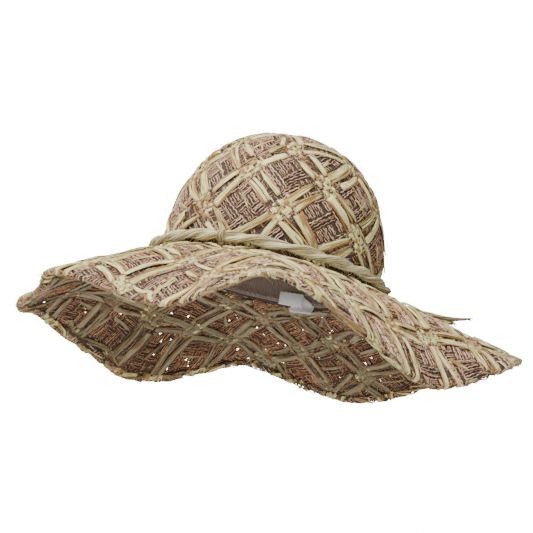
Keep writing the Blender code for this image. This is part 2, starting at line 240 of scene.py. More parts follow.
def crown_profile():
    """The crown's profile as a table: distance climbed from the seam, and the climb in radians."""
    climb = np.linspace(0, math.pi / 2, PROFILE_POINTS)
    power = 2 / CROWN_ROUNDNESS
    out = SEAM_RADIUS * np.cos(climb) ** power
    up = CROWN_HEIGHT * np.sin(climb) ** power
    steps = np.hypot(np.diff(out), np.diff(up))
    return np.concatenate([[0], np.cumsum(steps)]), climb


CROWN_ARC, CROWN_CLIMB = crown_profile()
CAP_ARC = CROWN_ARC[-1] - WALL_ROWS * WALL_ROW
NEAR_ANGLE = 0.2                  # steps to each side that give the brim's slope
NEAR_SHARE = 0.004


def crown_surface(angle, climbed, inset=STRAW_THICKNESS / 2):
    """Points inset from the crown's outer face, climbed metres above the seam, and its normals."""
    climb = np.interp(climbed, CROWN_ARC, CROWN_CLIMB)
    power = 2 / CROWN_ROUNDNESS
    narrowing = np.cos(climb) ** power
    base, _ = oval(angle)
    height = CROWN_HEIGHT * np.sin(climb) ** power
    points = np.column_stack([base * narrowing[:, None], height])
    flat = (narrowing ** (CROWN_ROUNDNESS - 2))[:, None] * points[:, :2]
    flat = flat / np.array([CROWN_HALF_WIDTH ** 2, CROWN_HALF_LENGTH ** 2])
    rise = (height / CROWN_HEIGHT) ** (CROWN_ROUNDNESS - 1) / CROWN_HEIGHT
    normals = unit(np.column_stack([flat, rise]))
    return points - normals * inset, normals


def brim_top(angle, share):
    reach, drop, slope = brim_wave(angle)
    base, outward = oval(angle)
    flat = base + outward * (reach * share)[:, None]
    lean = np.tan(np.radians(slope))
    z = -(share * (1 - share) * reach * lean + share * share * drop) - GAP
    return np.column_stack([flat, z])


def brim_surface(angle, share, inset=STRAW_THICKNESS / 2):
    """Points inset from the brim's top face, share of the way out, and its upward normals."""
    points = brim_top(angle, share)
    round_step = brim_top(angle + NEAR_ANGLE, share) - brim_top(angle - NEAR_ANGLE, share)
    out_step = brim_top(angle, share + NEAR_SHARE) - brim_top(angle, share - NEAR_SHARE)
    normals = unit(np.cross(out_step, round_step))
    return points - normals * inset, normals


def folded_brim(angle, share, past):
    """The brim's middle surface; where past is over 0 it has turned under round the edge."""
    reach = brim_wave(angle)[0]
    fold = 1 + FOLD_START / reach
    points, normals = brim_surface(angle, np.minimum(share, fold))
    edge = brim_top(angle, fold)
    out = unit(edge - brim_top(angle, fold - 0.01))
    turn = np.clip(past / FOLD_RADIUS, 0, math.pi)[:, None]
    back = np.clip(past - math.pi * FOLD_RADIUS, 0, None)[:, None]
    points = points + out * (FOLD_RADIUS * np.sin(turn) - back)
    points = points - normals * (FOLD_RADIUS * (1 - np.cos(turn)))
    return points, normals * np.cos(turn) + out * np.sin(turn)


# ---------------------------------------------------------------- charts: flat weave to hat
CROWN_SWAY = 1.3                  # degrees that the crown's bands stray from an even lattice
WEAVE_SWAY = 0.0016               # and metres, on the crown and on the brim
CHART_NUDGE = 0.04                # a short step over a chart, which gives its scale
INNER_LIMIT = -0.8                # how far inside the seam the brim's flat weave is followed


def crown_chart(angle, climbed):
    """The crown's middle surface with the small irregularities of hand weaving."""
    turn = np.radians(angle)
    calm = np.clip((CROWN_ARC[-1] - climbed) / CAP_ARC, 0, 1)
    angle = angle + CROWN_SWAY * calm * np.sin(3 * turn + 40 * climbed + 0.6)
    climbed = climbed + WEAVE_SWAY * calm * np.sin(5 * turn + 30 * climbed + 2.0)
    return crown_surface(angle, climbed)


def square_to_disc(p, q):
    """Radius share and angle in degrees, past the square's first corner, of a point of the top."""
    x = 2 * p / CAP_UNITS - 1
    y = 2 * q / CAP_UNITS - 1
    u = x * np.sqrt(np.maximum(1 - y * y / 2, 0.01))
    v = y * np.sqrt(np.maximum(1 - x * x / 2, 0.01))
    return np.hypot(u, v), np.degrees(np.arctan2(v, u)) + 135


def cap_chart(flat):
    share, angle = square_to_disc(flat[:, 0], flat[:, 1])
    points, normals = crown_chart(angle + WALL_TURN, CROWN_ARC[-1] - share * CAP_ARC)
    return points, normals, np.ones(len(flat), bool)


def wall_chart(flat):
    """The wall, and the strip of the top that its columns run on into."""
    i, j = flat[:, 0], flat[:, 1]
    side = np.floor(i / CAP_UNITS)
    p = i - side * CAP_UNITS
    share, angle = square_to_disc(p, np.maximum(j - WALL_ROWS, 0))
    edge_angle = square_to_disc(p, np.zeros_like(p))[1] + side * 90
    even_angle = i * 360 / WALL_COLUMNS
    blend = np.clip(j / WALL_ROWS, 0, 1) ** 2
    on_top = j > WALL_ROWS
    turned = np.where(on_top, angle + side * 90, even_angle + (edge_angle - even_angle) * blend)
    climbed = np.where(on_top, CROWN_ARC[-1] - share * CAP_ARC, j * WALL_ROW)
    points, normals = crown_chart(turned + WALL_TURN, climbed)
    return points, normals, j > -0.02


def brim_chart(flat):
    """The brim and the weave folded in under its edge, with the same small irregularities."""
    x, y = flat[:, 0], flat[:, 1]
    finer = WEAVE_SWAY / 2
    x = x + WEAVE_SWAY * np.sin(75 * y + 40 * x + 1.0) + finer * np.sin(160 * y - 60 * x)
    y = y + WEAVE_SWAY * np.sin(80 * x - 35 * y + 2.0) + finer * np.sin(150 * x + 70 * y)
    angle = np.degrees(np.arctan2(y, x))
    out = np.hypot(x, y) - SEAM_RADIUS
    share = out / brim_wave(angle)[0]
    past = out - brim_wave(angle)[0] - FOLD_START
    points, normals = folded_brim(angle, np.maximum(share, INNER_LIMIT), past)
    return points, normals, (share > 0.005) & (past < FOLD_WIDTH)


def line_on(chart, origin, along, across, shares, offsets):
    """Points on a chart, shares of the way along and offsets metres across; and their normals."""
    flat = origin + shares[:, None] * along
    nudge = CHART_NUDGE * across
    span = np.linalg.norm(chart(flat + nudge)[0] - chart(flat - nudge)[0], axis=1)
    scale = span / (2 * CHART_NUDGE)
    return chart(flat + across * (offsets / scale)[:, None])


def length_on(chart, origin, along):
    points = chart(origin + np.linspace(0, 1, 9)[:, None] * along)[0]
    return np.linalg.norm(np.diff(points, axis=0), axis=1).sum()


def runs(mask, shortest=4):
    """(start, stop) of each unbroken run of a mask that is long enough to model."""
    padded = np.concatenate([[False], mask, [False]]).astype(int)
    edges = np.flatnonzero(np.diff(padded))
    return [(a, b) for a, b in zip(edges[::2], edges[1::2]) if b - a >= shortest]


# ---------------------------------------------------------------- strands to meshes
def add_piece(name, mesh, material, body="hat"):
    """A mesh as a smooth piece that rides on a body."""
    mesh.shade_smooth()
    mesh.materials.append(material)
    piece = bpy.data.objects.new(name, mesh)
    bpy.context.scene.collection.objects.link(piece)
    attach(piece, body)
    return piece


GRAIN_LENGTH = 5                  # metres of grain, along which each strand starts at random


class Pile:
    """Strands gathered into one mesh, each point with its place along and across its strand."""

    def __init__(self):
        self.points, self.fibre, self.quads, self.caps = [], [], [], []
        self.count = 0

    def add(self, loops, along, across, tone, closed=False):
        """A strand through loops of points (n, m, 3), along in metres and across from -1 to 1."""
        n, m, _ = loops.shape
        index = np.arange(n * m).reshape(n, m) + self.count
        after = np.roll(index, -1, axis=0) if closed else index[1:]
        before = index if closed else index[:-1]
        quads = np.stack([before, np.roll(before, -1, 1), np.roll(after, -1, 1), after], -1)
        self.quads.append(quads.reshape(-1, 4))
        if not closed:
            self.caps += [index[0][::-1], index[-1]]
        fibre = np.empty((n, m, 3))
        fibre[..., 0] = along[:, None]
        fibre[..., 1] = across
        fibre[..., 2] = tone
        self.points.append(loops.reshape(-1, 3))
        self.fibre.append(fibre.reshape(-1, 3))
        self.count += n * m

    def build(self, name, material, slot, body="hat"):
        quads = np.concatenate(self.quads)
        sizes = [4] * len(quads) + [len(cap) for cap in self.caps]
        corners = np.concatenate([quads.ravel(), *self.caps])
        mesh = bpy.data.meshes.new(name)
        mesh.vertices.add(self.count)
        mesh.vertices.foreach_set("co", np.concatenate(self.points).astype(np.float32).ravel())
        mesh.loops.add(len(corners))
        mesh.loops.foreach_set("vertex_index", corners.astype(np.int32))
        mesh.polygons.add(len(sizes))
        starts = np.concatenate([[0], np.cumsum(sizes)[:-1]])
        mesh.polygons.foreach_set("loop_start", starts.astype(np.int32))
        mesh.update(calc_edges=True)
        fibre = mesh.attributes.new("fibre", "FLOAT_VECTOR", "POINT")
        fibre.data.foreach_set("vector", np.concatenate(self.fibre).astype(np.float32).ravel())
        return add_piece(name, mesh, material, body)


def frame_of(centre, normals, closed=False):
    """Sideways directions and true normals along a line."""
    if closed:
        tangents = unit(np.roll(centre, -1, axis=0) - np.roll(centre, 1, axis=0))
    else:
        tangents = unit(np.gradient(centre, axis=0))
    sideways = unit(np.cross(normals, tangents))
    return sideways, np.cross(tangents, sideways)


def length_along(centre):
    steps = np.linalg.norm(np.diff(centre, axis=0), axis=1)
    return np.concatenate([[0], np.cumsum(steps)])


RIBBON_TOP = np.array([-1, -0.78, -0.5, -0.2, 0.1, 0.4, 0.7, 1])
RIBBON_BACK = np.array([0.5, -0.5])
RIBBON_ACROSS = np.concatenate([RIBBON_TOP[::-1], RIBBON_BACK[::-1]])
PLEAT_SHARE = 0.20                # depth of a leaf's lengthwise creases, of its thickness


def any_phase():
    return RANDOM.uniform(0, 6.28)


def add_ribbon(pile, centre, normals, width, thickness, tone, curl=0.0, closed=False):
    """A strip of raffia: a flat, pleated tube of folded leaf, with its edges thin."""
    sideways, up = frame_of(centre, normals, closed)
    along = length_along(centre)
    top_count = len(RIBBON_TOP)
    x = RIBBON_ACROSS
    side = np.where(np.arange(len(x)) < top_count, 1.0, -1.0)
    side[0] = side[top_count - 1] = 0.0
    bulge = side * (1 - np.abs(x) ** 3) * 0.5
    pleat = PLEAT_SHARE * np.mean(thickness)
    folds = RANDOM.normal(size=len(x)) * pleat
    drift = RANDOM.normal(size=len(x)) * pleat
    phase = any_phase()
    slow = np.sin(along * 210 + phase)[:, None]
    ragged = 1 + 0.05 * np.sin(along * 330 + phase * 3) + 0.04 * np.sin(along * 820 + phase * 5)
    width = np.broadcast_to(width, along.shape) * ragged
    thickness = np.broadcast_to(thickness, along.shape)
    lift = thickness[:, None] * bulge + folds + drift * slow + curl * (x * x) * width[:, None]
    loops = (
        centre[:, None]
        + sideways[:, None] * (width[:, None] / 2 * x)[..., None]
        + up[:, None] * lift[..., None]
    )
    pile.add(loops, along + RANDOM.uniform(0, GRAIN_LENGTH), x, tone, closed)


def add_thread(pile, centre, normals, radius, tone, depth, sides=3):
    """A thin round thread; depth from 0 to 1 is where it lies in the weave, kept as its across."""
    sideways, up = frame_of(centre, normals)
    spin = any_phase() + np.arange(sides) * 2 * math.pi / sides
    along = length_along(centre)
    ring = sideways[:, None] * np.cos(spin)[:, None] + up[:, None] * np.sin(spin)[:, None]
    loops = centre[:, None] + ring * radius
    pile.add(loops, along + RANDOM.uniform(0, GRAIN_LENGTH), depth[:, None], tone)


# ---------------------------------------------------------------- weaving
def smooth(share):
    share = np.clip(share, 0, 1)
    return share * share * (3 - 2 * share)


def lay_ribbon(pile, chart, line, shares, offset, lift, width, thickness, tone, curl=0.0):
    """A ribbon lifted off a chart's surface; line is its origin, way along and way across."""
    points, normals, inside = line_on(chart, *line, shares, offset)
    points = points + normals * np.broadcast_to(lift, shares.shape)[:, None]
    for a, b in runs(inside):
        add_ribbon(pile, points[a:b], normals[a:b], width[a:b], thickness[a:b], tone, curl)


def leaf_point(shares, start, stop, length):
    """How a strip narrows: some leaves run out to a point at one end."""
    if RANDOM.uniform() > POINTED_SHARE:
        return 1.0
    from_end = (shares - start) if RANDOM.uniform() < 0.5 else (stop - shares)
    return 0.30 + 0.70 * smooth(from_end * length / RANDOM.uniform(*POINT_LENGTHS))


def weave_strip(pile, chart, origin, along, across, place, ends):
    """One flat strip of a band, its ends tucked in at the knots, and the twist beside it."""
    line = (origin, along, across)
    length = length_on(chart, origin, along)
    margin = (STRIP_START + RANDOM.uniform(-STRIP_END_PLAY, STRIP_END_PLAY)) / length
    stop = 1 - (STRIP_START + RANDOM.uniform(-STRIP_END_PLAY, STRIP_END_PLAY)) / length
    if RANDOM.uniform() < BROKEN_SHARE:
        broken = RANDOM.uniform(0.45, 0.85)
        margin, stop = (margin, broken) if RANDOM.uniform() < 0.5 else (1 - broken, stop)
    shares = np.linspace(margin, stop, max(8, round((stop - margin) * length / STRIP_STEP)))
    near = np.minimum(shares - margin, stop - shares) * length
    skew = RANDOM.normal() * 0.0008 + RANDOM.normal() * STRIP_SKEW * (shares - 0.5)
    bow = RANDOM.normal() * STRIP_BOW * np.sin(shares * math.pi)
    offset = place * BAND_OFFSET + skew + bow
    tuck = 1 - smooth(near / TUCK_LENGTH)
    lift = STRIP_LIFT * np.sin(shares * math.pi) * RANDOM.uniform(*STRIP_LIFTS)
    lift = lift + ends * TUCK_DEPTH * tuck
    lift = lift + STRIP_LIFT * RANDOM.normal() * 0.8 * (shares - 0.5)
    wide = RANDOM.uniform(*STRIP_WIDTHS)
    width = STRIP_WIDTH * wide * (1 - 0.10 * tuck) * (1 + RANDOM.normal() * 0.35 * (shares - 0.5))
    width = width * leaf_point(shares, margin, stop, length)
    thickness = STRIP_THICKNESS * (1 - 0.35 * tuck)
    split = RANDOM.uniform() < SPLIT_SHARE
    for shift, share in SPLIT_PARTS if split else ((0.0, 1.0),):
        apart = shift * width + (RANDOM.normal() * 0.0022 * (shares - 0.5) if split else 0.0)
        side, height = offset + apart, lift + RANDOM.uniform(0, 0.0003)
        tone, curl = RANDOM.uniform(0.0, 0.75), RANDOM.normal() * 0.10
        lay_ribbon(
            pile, chart, line, shares, side, height, width * share, thickness, tone, curl,
        )
    if RANDOM.uniform() < EDGING_SHARE:
        side = RANDOM.choice([-1, 1]) * (STRIP_WIDTH * wide / 2 + RANDOM.uniform(0.0000, 0.0010))
        side = offset + side + RANDOM.normal() * 0.0034 * (shares - 0.5)
        width = RANDOM.uniform(*EDGING_WIDTHS) * (1 - 0.4 * tuck)
        tone = RANDOM.uniform(1.1, 1.9)
        lay_ribbon(pile, chart, line, shares, side, lift + 0.0002, width, width * 0.5, tone)


def weave_stray(pile, chart, origin, along, across):
    """A spare leaf caught slantwise over the threads of a cell."""
    length = length_on(chart, origin + 0.5 * across, along)
    start = RANDOM.uniform(0.2, 0.4)
    shares = np.linspace(start, start + RANDOM.uniform(0.25, 0.5), 10)
    slant = RANDOM.uniform(*STRAY_OFFSETS) + RANDOM.normal() * 0.014 * (shares - 0.5)
    ends = smooth(np.minimum(shares - shares[0], shares[-1] - shares) * length / 0.002)
    lift = STRAY_LIFT * ends - 0.0002
    width = RANDOM.uniform(*STRAY_WIDTHS) * (0.6 + 0.4 * ends)
    tone = RANDOM.uniform(0.0, 1.4)
    line = (origin, along, across)
    lay_ribbon(pile, chart, line, shares, slant, lift, width, width * 0.25, tone)


def weave_middle(pile, chart, origin, along, across):
    """A narrow strand that shows between a band's two strips, whole or only near the knots."""
    length = length_on(chart, origin, along)
    margin = STRIP_START / length
    parts = [(margin, MIDDLE_PART), (1 - MIDDLE_PART, 1 - margin)]
    if RANDOM.uniform() < MIDDLE_SHARE:
        parts = [(margin, 1 - margin)]
    for start, stop in parts:
        count = max(6, round((stop - start) * length / STRIP_STEP))
        shares = np.linspace(start, stop, count)
        offset = RANDOM.normal() * 0.0006 + RANDOM.normal() * 0.003 * (shares - 0.5)
        taper = smooth((stop - shares) / 0.1 + 0.3) * smooth((shares - start) / 0.1 + 0.3)
        width = RANDOM.uniform(*MIDDLE_WIDTHS) * taper
        tone = RANDOM.uniform(0.5, 1.0)
        line = (origin, along, across)
        lay_ribbon(pile, chart, line, shares, offset, 0.0002, width, width * 0.5, tone)


def weave_knot(pile, chart, origin, first, second, rise=KNOT_RISE, lowest=-KNOT_RISE):
    """Where two bands cross: long strips of one, with short strips of the other through them."""
    if RANDOM.uniform() < TURNED_SHARE:
        first, second = second, first
    twist = RANDOM.normal() * KNOT_TWIST
    settings = ((first, second, KNOT_LONG, KNOT_SHORT), (second, first, KNOT_SHORT, KNOT_LONG))
    for family, (along, across, own, other) in enumerate(settings):
        count, pitch, reach, width = own
        length = length_on(chart, origin, along)
        for place in np.arange(count) - (count - 1) / 2:
            half = reach * RANDOM.uniform(0.78, 1.15)
            distance = np.linspace(-half, half, max(9, round(half * 2 / KNOT_STEP)))
            lean = (twist if family == 0 else -twist) + RANDOM.normal() * KNOT_LEAN
            offset = place * pitch + lean * distance + RANDOM.normal() * 0.0004
            shares = distance / length + RANDOM.normal() * 0.0006 / length
            parity = place + family + (other[0] - 1) / 2
            height = np.maximum(rise * np.cos(math.pi * (distance / other[1] + parity)), lowest)
            end = smooth((half - np.abs(distance)) / KNOT_END)
            height = height * end - KNOT_SINK * (1 - end)
            broad = width * RANDOM.uniform(0.7, 1.12) * (0.8 + 0.2 * end)
            thickness = KNOT_THICKNESS * (0.5 + 0.5 * end)
            tones = (0.0, 0.7) if RANDOM.uniform() < PALE_SHARE else (1.0, 1.8)
            tone, curl = RANDOM.uniform(*tones), RANDOM.normal() * 0.08
            line = (origin, along, across)
            lay_ribbon(pile, chart, line, shares, offset, height, broad, thickness, tone, curl)


def weave_wrap(pile, chart, origin, along, across):
    """A narrow twist of leaf that crosses a band where it leaves its knot."""
    length = length_on(chart, origin, along)
    breadth = length_on(chart, origin, across)
    if RANDOM.uniform() < BARE_SHARE:
        return
    start = origin + along * (RANDOM.uniform(*WRAP_STARTS) / length)
    reach = RANDOM.uniform(*WRAP_REACHES) / breadth
    shares = np.linspace(-reach, reach, 12)
    bend = RANDOM.normal() * 0.0010 * (1 - (shares / reach) ** 2)
    bend = bend + RANDOM.normal() * 0.08 * shares * breadth
    arch = np.cos(shares / reach * math.pi / 2) ** 0.5
    lift = WRAP_RISE * arch - 0.0004
    width = RANDOM.uniform(*WRAP_WIDTHS) * (0.55 + 0.45 * arch)
    tone = RANDOM.uniform(0.6, 1.9)
    line = (start, across, along)
    lay_ribbon(pile, chart, line, shares, bend, lift, width, width * 0.35, tone)


def other_face(chart):
    """The same chart seen from the weave's other face."""
    def turned(flat):
        points, normals, inside = chart(flat)
        return points - normals * FACE_GAP, -normals, inside
    return turned


def weave_leaves(strips, chart, origin, along, across):
    """The pair of strips between two knots, as one face of the weave shows them."""
    ends = 1 if RANDOM.uniform() < RAISED_SHARE else -1
    for place in (-1, 1):
        weave_strip(strips, chart, origin, along, across, place, ends)
    weave_middle(strips, chart, origin, along, across)
    weave_wrap(strips, chart, origin, along, across)
    weave_wrap(strips, chart, origin + along, -along, across)
    if RANDOM.uniform() < STRAY_SHARE:
        weave_stray(strips, chart, origin, along, across)


def weave_band(strips, threads, chart, origin, along, across):
    """The strips between two knots, and the threads under and between them."""
    weave_leaves(strips, chart, origin, along, across)
    length = length_on(chart, origin, along)
    margin = 0.5 * STRIP_START / length
    for place in np.linspace(-BAND_FILL, BAND_FILL, BAND_THREADS):
        shares = np.linspace(margin, 1 - margin, max(6, round(length / THREAD_STEP)))
        height = 0.0005 * np.sin(shares * RANDOM.uniform(12, 22) + any_phase()) - 0.0001
        weave_thread(threads, chart, origin, along, across, shares, place, height)
    reach = BAND_FILL / length_on(chart, origin, across)
    for share in RANDOM.uniform(margin, 1 - margin, BAND_CROSS_THREADS):
        shares = np.linspace(-reach, reach, 10)
        height = 0.0003 + 0.0003 * np.cos(shares * 40)
        weave_thread(threads, chart, origin + share * along, across, along, shares, 0.0, height)


def weave_thread(pile, chart, origin, along, across, shares, place, height, crinkle_phase=0.0):
    """A crinkled thread; height is how far it rides above the middle of the weave."""
    length = length_on(chart, origin, along)
    run = shares * length
    crinkles = run * RANDOM.uniform(1150, 1350) + crinkle_phase + RANDOM.normal() * 0.7
    crinkle = CRINKLE * np.sin(crinkles)
    wander = THREAD_WANDER * np.sin(run * RANDOM.uniform(120, 320) + any_phase())
    offset = place + crinkle + wander
    points, normals, inside = line_on(chart, origin, along, across, shares, offset)
    height = np.broadcast_to(height, shares.shape)
    points = points + normals * (height + RANDOM.normal() * 0.0001)[:, None]
    depth = np.clip(0.5 + 0.5 * height / THREAD_RISE, 0, 1)
    tone = RANDOM.uniform()
    radius = THREAD_RADIUS * RANDOM.uniform(0.75, 1.15)
    for a, b in runs(inside):
        add_thread(pile, points[a:b], normals[a:b], radius, tone, depth[a:b])


def weave_cell(pile, chart, origin, first, second):
    """The fine threads that fill the square between four knots, in patches that run either way."""
    patches = RANDOM.uniform(size=(PATCHES, PATCHES)) < 0.5
    shift = RANDOM.uniform(0, THREAD_BLOCK, 2)
    for family, (along, across) in enumerate(((first, second), (second, first))):
        length = length_on(chart, origin + 0.5 * across, along)
        width = length_on(chart, origin + 0.5 * along, across)
        edge = BAND_EDGE / length
        shares = np.linspace(edge, 1 - edge, max(6, round((length - 2 * BAND_EDGE) / THREAD_STEP)))
        count = max(2, int((width - 2 * BAND_EDGE) / THREAD_PITCH))
        for k in range(count + 1):
            place = BAND_EDGE + (width - 2 * BAND_EDGE) * k / count
            run = shares * length
            row = int((place + shift[family]) / THREAD_BLOCK) % PATCHES
            columns = (run + shift[1 - family]) / THREAD_BLOCK
            own = patches[row] if family == 0 else ~patches[:, row]
            lower = np.floor(columns - 0.5).astype(int)
            blend = smooth((columns - 0.5 - lower - 0.5) / 0.3 + 0.5)
            up = own[lower % PATCHES] * (1 - blend) + own[(lower + 1) % PATCHES] * blend
            if RANDOM.uniform() < DROPPED_SHARE:
                continue
            start = origin + across * (place + RANDOM.normal() * 0.0003) / width
            height = THREAD_RISE * (2 * up - 1)
            phase = PHASE_STEP * (k // THREAD_GROUP) + 0.5 * k
            weave_thread(pile, chart, start, along, across, shares, 0.0, height, phase)


def vector(*values):
    return np.array(values, float)


def weave_crown(strips, threads):
    """Bands and cells of the crown: a lattice round its wall in four sides, and one on its top."""
    right, left = vector(1, 1), vector(-1, 1)
    for i in range(WALL_COLUMNS):
        side = i // CAP_UNITS
        for j in range(WALL_ROWS):
            if (i + j) % 2 == 0:
                weave_band(strips[side], threads[side], wall_chart, vector(i, j), right, left)
            else:
                weave_band(strips[side], threads[side], wall_chart, vector(i + 1, j), left, right)
    for p in range(CAP_UNITS):
        for q in range(CAP_UNITS):
            if (p + q) % 2 == 1:
                weave_band(strips[-1], threads[-1], cap_chart, vector(p, q), right, left)
            else:
                weave_band(strips[-1], threads[-1], cap_chart, vector(p + 1, q), left, right)
    for j in range(WALL_ROWS + 1):
        for i in range(WALL_COLUMNS):
            side = i // CAP_UNITS
            if (i + j) % 2 == 0:
                weave_knot(strips[side], wall_chart, vector(i, j), right, left)
                continue
            at_corner = j == WALL_ROWS and i % CAP_UNITS == 0
            chart = wall_below if at_corner else wall_chart
            weave_cell(threads[side], chart, vector(i, j - 1), right, left)
    for p in range(1, CAP_UNITS):
        for q in range(1, CAP_UNITS):
            if (p + q) % 2 == 0:
                weave_cell(threads[-1], cap_chart, vector(p, q - 1), right, left)
            else:
                weave_knot(strips[-1], cap_chart, vector(p, q), right, left)


def wall_below(flat):
    """The wall alone, for the three-sided cells at the corners of the top."""
    points, normals, inside = wall_chart(np.minimum(flat, [np.inf, WALL_ROWS + 0.05]))
    return points, normals, inside & (flat[:, 1] < WALL_ROWS + 0.04)


def brim_axes():
    """The brim lattice's origin, and the steps from one knot to the next both ways."""
    turn = math.radians(BRIM_TURN)
    first = vector(math.cos(turn), math.sin(turn)) * BRIM_PITCH
    return vector(*BRIM_SHIFT), first, vector(-first[1], first[0])


def weave_brim(strips, under_strips, threads):
    """Bands and cells of the square lattice that the brim is cut from, quarter by quarter."""
    origin, first, second = brim_axes()
    under_chart = other_face(brim_chart)
    nearest, farthest = BRIM_CELL_REACH
    for m in range(-BRIM_CELLS, BRIM_CELLS):
        for n in range(-BRIM_CELLS, BRIM_CELLS):
            corner = origin + m * first + n * second
            quarter = (1 if m >= 0 else 0) + (2 if n >= 0 else 0)
            middle = np.linalg.norm(corner + (first + second) / 2)
            if not nearest < middle < farthest:
                continue
            upper, under = strips[quarter], under_strips[quarter]
            for along, across in ((first, second), (second, first)):
                weave_band(upper, threads[quarter], brim_chart, corner, along, across)
                weave_leaves(under, under_chart, corner, along, across)
            weave_knot(upper, brim_chart, corner, first, second, KNOT_RISE, KNOT_LOWEST)
            weave_knot(under, under_chart, corner, first, second, UNDER_KNOT_RISE)
            weave_cell(threads[quarter], brim_chart, corner, first, second)


# ---------------------------------------------------------------- bundles, fibres and stitches
BUNDLE_LOBES = 11                 # leaves that show round a twisted strand
LOBE_SHAPE = np.array([-0.96, -0.55, 0.0, 0.55, 0.96])
LOBE_DEPTH = 0.14                 # how deep the creases between leaves are, of the radius
STITCH_SHAPE = np.linspace(0, 1, 7)


def add_bundle(pile, centre, normals, radius, lay, lobes=BUNDLE_LOBES, closed=False):
    """A strand of several leaves side by side, with a lobe for each; lay is its turns per metre."""
    sideways, up = frame_of(centre, normals, closed)
    along = length_along(centre)
    shape = np.tile(LOBE_SHAPE, lobes)
    lobe = np.repeat(np.arange(lobes), len(LOBE_SHAPE))
    shares = RANDOM.uniform(0.6, 1.4, lobes)
    shares = 2 * math.pi * shares / shares.sum()
    starts = np.cumsum(shares) - shares
    around = starts[lobe] + shares[lobe] * (shape + 1) / 2
    spin = around - 2 * math.pi * lay * along[:, None]
    ripple = RANDOM.uniform(80, 260, lobes)[lobe]
    phase = RANDOM.uniform(0, 6.28, lobes)[lobe]
    swell = RANDOM.uniform(0.92, 1.06, lobes)[lobe] + 0.05 * np.sin(along[:, None] * ripple + phase)
    reach = np.broadcast_to(radius, along.shape)[:, None] * swell * (1 - LOBE_DEPTH * shape ** 4)
    ring = sideways[:, None] * np.cos(spin)[..., None] + up[:, None] * np.sin(spin)[..., None]
    loops = centre[:, None] + ring * reach[..., None]
    start = RANDOM.uniform(0, GRAIN_LENGTH)
    tone = RANDOM.uniform(size=lobes)[lobe]
    pile.add(loops, along + start, shape, tone, closed)


def add_loose_fibre(pile, start, heading, normal, length, lift, width=0.0006):
    """A broken end of leaf that leaves the weave and curls away."""
    share = np.linspace(0, 1, 7)
    sideways = np.cross(normal, heading)
    bend = RANDOM.normal() * 0.25
    points = (
        start
        + heading * (share * length)[:, None]
        + sideways * (bend * length * share ** 2)[:, None]
        + normal * (lift * share ** 1.5 - 0.0004)[:, None]
    )
    widths = width * (1 - 0.75 * share)
    normals = np.broadcast_to(normal, points.shape)
    add_ribbon(pile, points, normals, widths, widths * 0.4, RANDOM.uniform())


def resample(points, count):
    along = length_along(points)
    even = np.linspace(0, along[-1], count)
    return np.column_stack([np.interp(even, along, points[:, k]) for k in range(3)])


def running_stitch(pile, line, normals, stitch, gap, radius, first=0.0):
    """Thread that shows as a row of short stitches along a line, each dipping in at both ends."""
    along = length_along(line)
    at = first
    while at + stitch < along[-1]:
        reach = stitch * RANDOM.uniform(0.85, 1.1)
        places = at + reach * STITCH_SHAPE
        points = np.column_stack([np.interp(places, along, line[:, k]) for k in range(3)])
        out = unit(np.column_stack([np.interp(places, along, normals[:, k]) for k in range(3)]))
        arch = 2.2 * np.sin(math.pi * STITCH_SHAPE) ** 0.5 - 1.4
        points = points + out * (radius * arch)[:, None]
        add_thread(pile, points, out, radius, RANDOM.uniform(), np.ones(len(arch)), 6)
        at += stitch + gap * RANDOM.uniform(0.8, 1.2)


# ---------------------------------------------------------------- rope, knot, keepers and tails
ROPE_RINGS = 420
ROPE_FIBRES = 26                  # broken ends that stand out of each strand
KNOT_RINGS = 150
KNOT_FIBRES = 16
KEEPER_POINTS = 44                # round one winding of a tack
UP = np.array([0, 0, 1])
PLY_SWELL = 1.18                  # the soft strands press into each other: wider than when apart,
PLY_CLOSER = 0.72                 # and nearer to the rope's middle
FIBRE_LAY = -5.0                  # turns per metre of the leaves in a strand
ROPE_SETTLE = 0.0006              # how far the soft rope sinks in toward the crown and the brim
ROPE_SAG = 0.0034                 # how far it drops onto the brim where the brim falls away
ROPE_SAG_ANGLE = 193
ROPE_SAG_SPREAD = 28
ROPE_TUCK = 2.4                   # angle from the knot's middle at which the strands end inside it


def flat_up(outward):
    """Level outward directions as 3-D vectors."""
    return np.column_stack([outward, np.zeros(len(outward))])


def rope_turn(angle):
    """How far the rope has twisted at an angle round the crown."""
    share = (angle - KNOT_ANGLE - ROPE_END_ANGLE) / (360 - 2 * ROPE_END_ANGLE)
    return 2 * math.pi * ROPE_TURNS * share + 0.30 * np.sin(2 * math.pi * 5 * share)


def rope_centre(angle):
    """The rope's centre line, which rises into the knot at its ends, and its outward directions."""
    base, outward = oval(angle)
    outward = flat_up(outward)
    from_knot = np.minimum(angle - KNOT_ANGLE, KNOT_ANGLE + 360 - angle)
    rise = (KNOT_HEIGHT - ROPE_HEIGHT) * smooth((ROPE_END_ANGLE - from_knot) / ROPE_END_ANGLE)
    sag = ROPE_SAG * np.exp(-((angle - ROPE_SAG_ANGLE) / ROPE_SAG_SPREAD) ** 2)
    height = ROPE_HEIGHT - ROPE_SETTLE + rise - sag
    centre = np.column_stack([base, height]) + outward * (ROPE_OFFSET - ROPE_SETTLE)
    return centre, outward


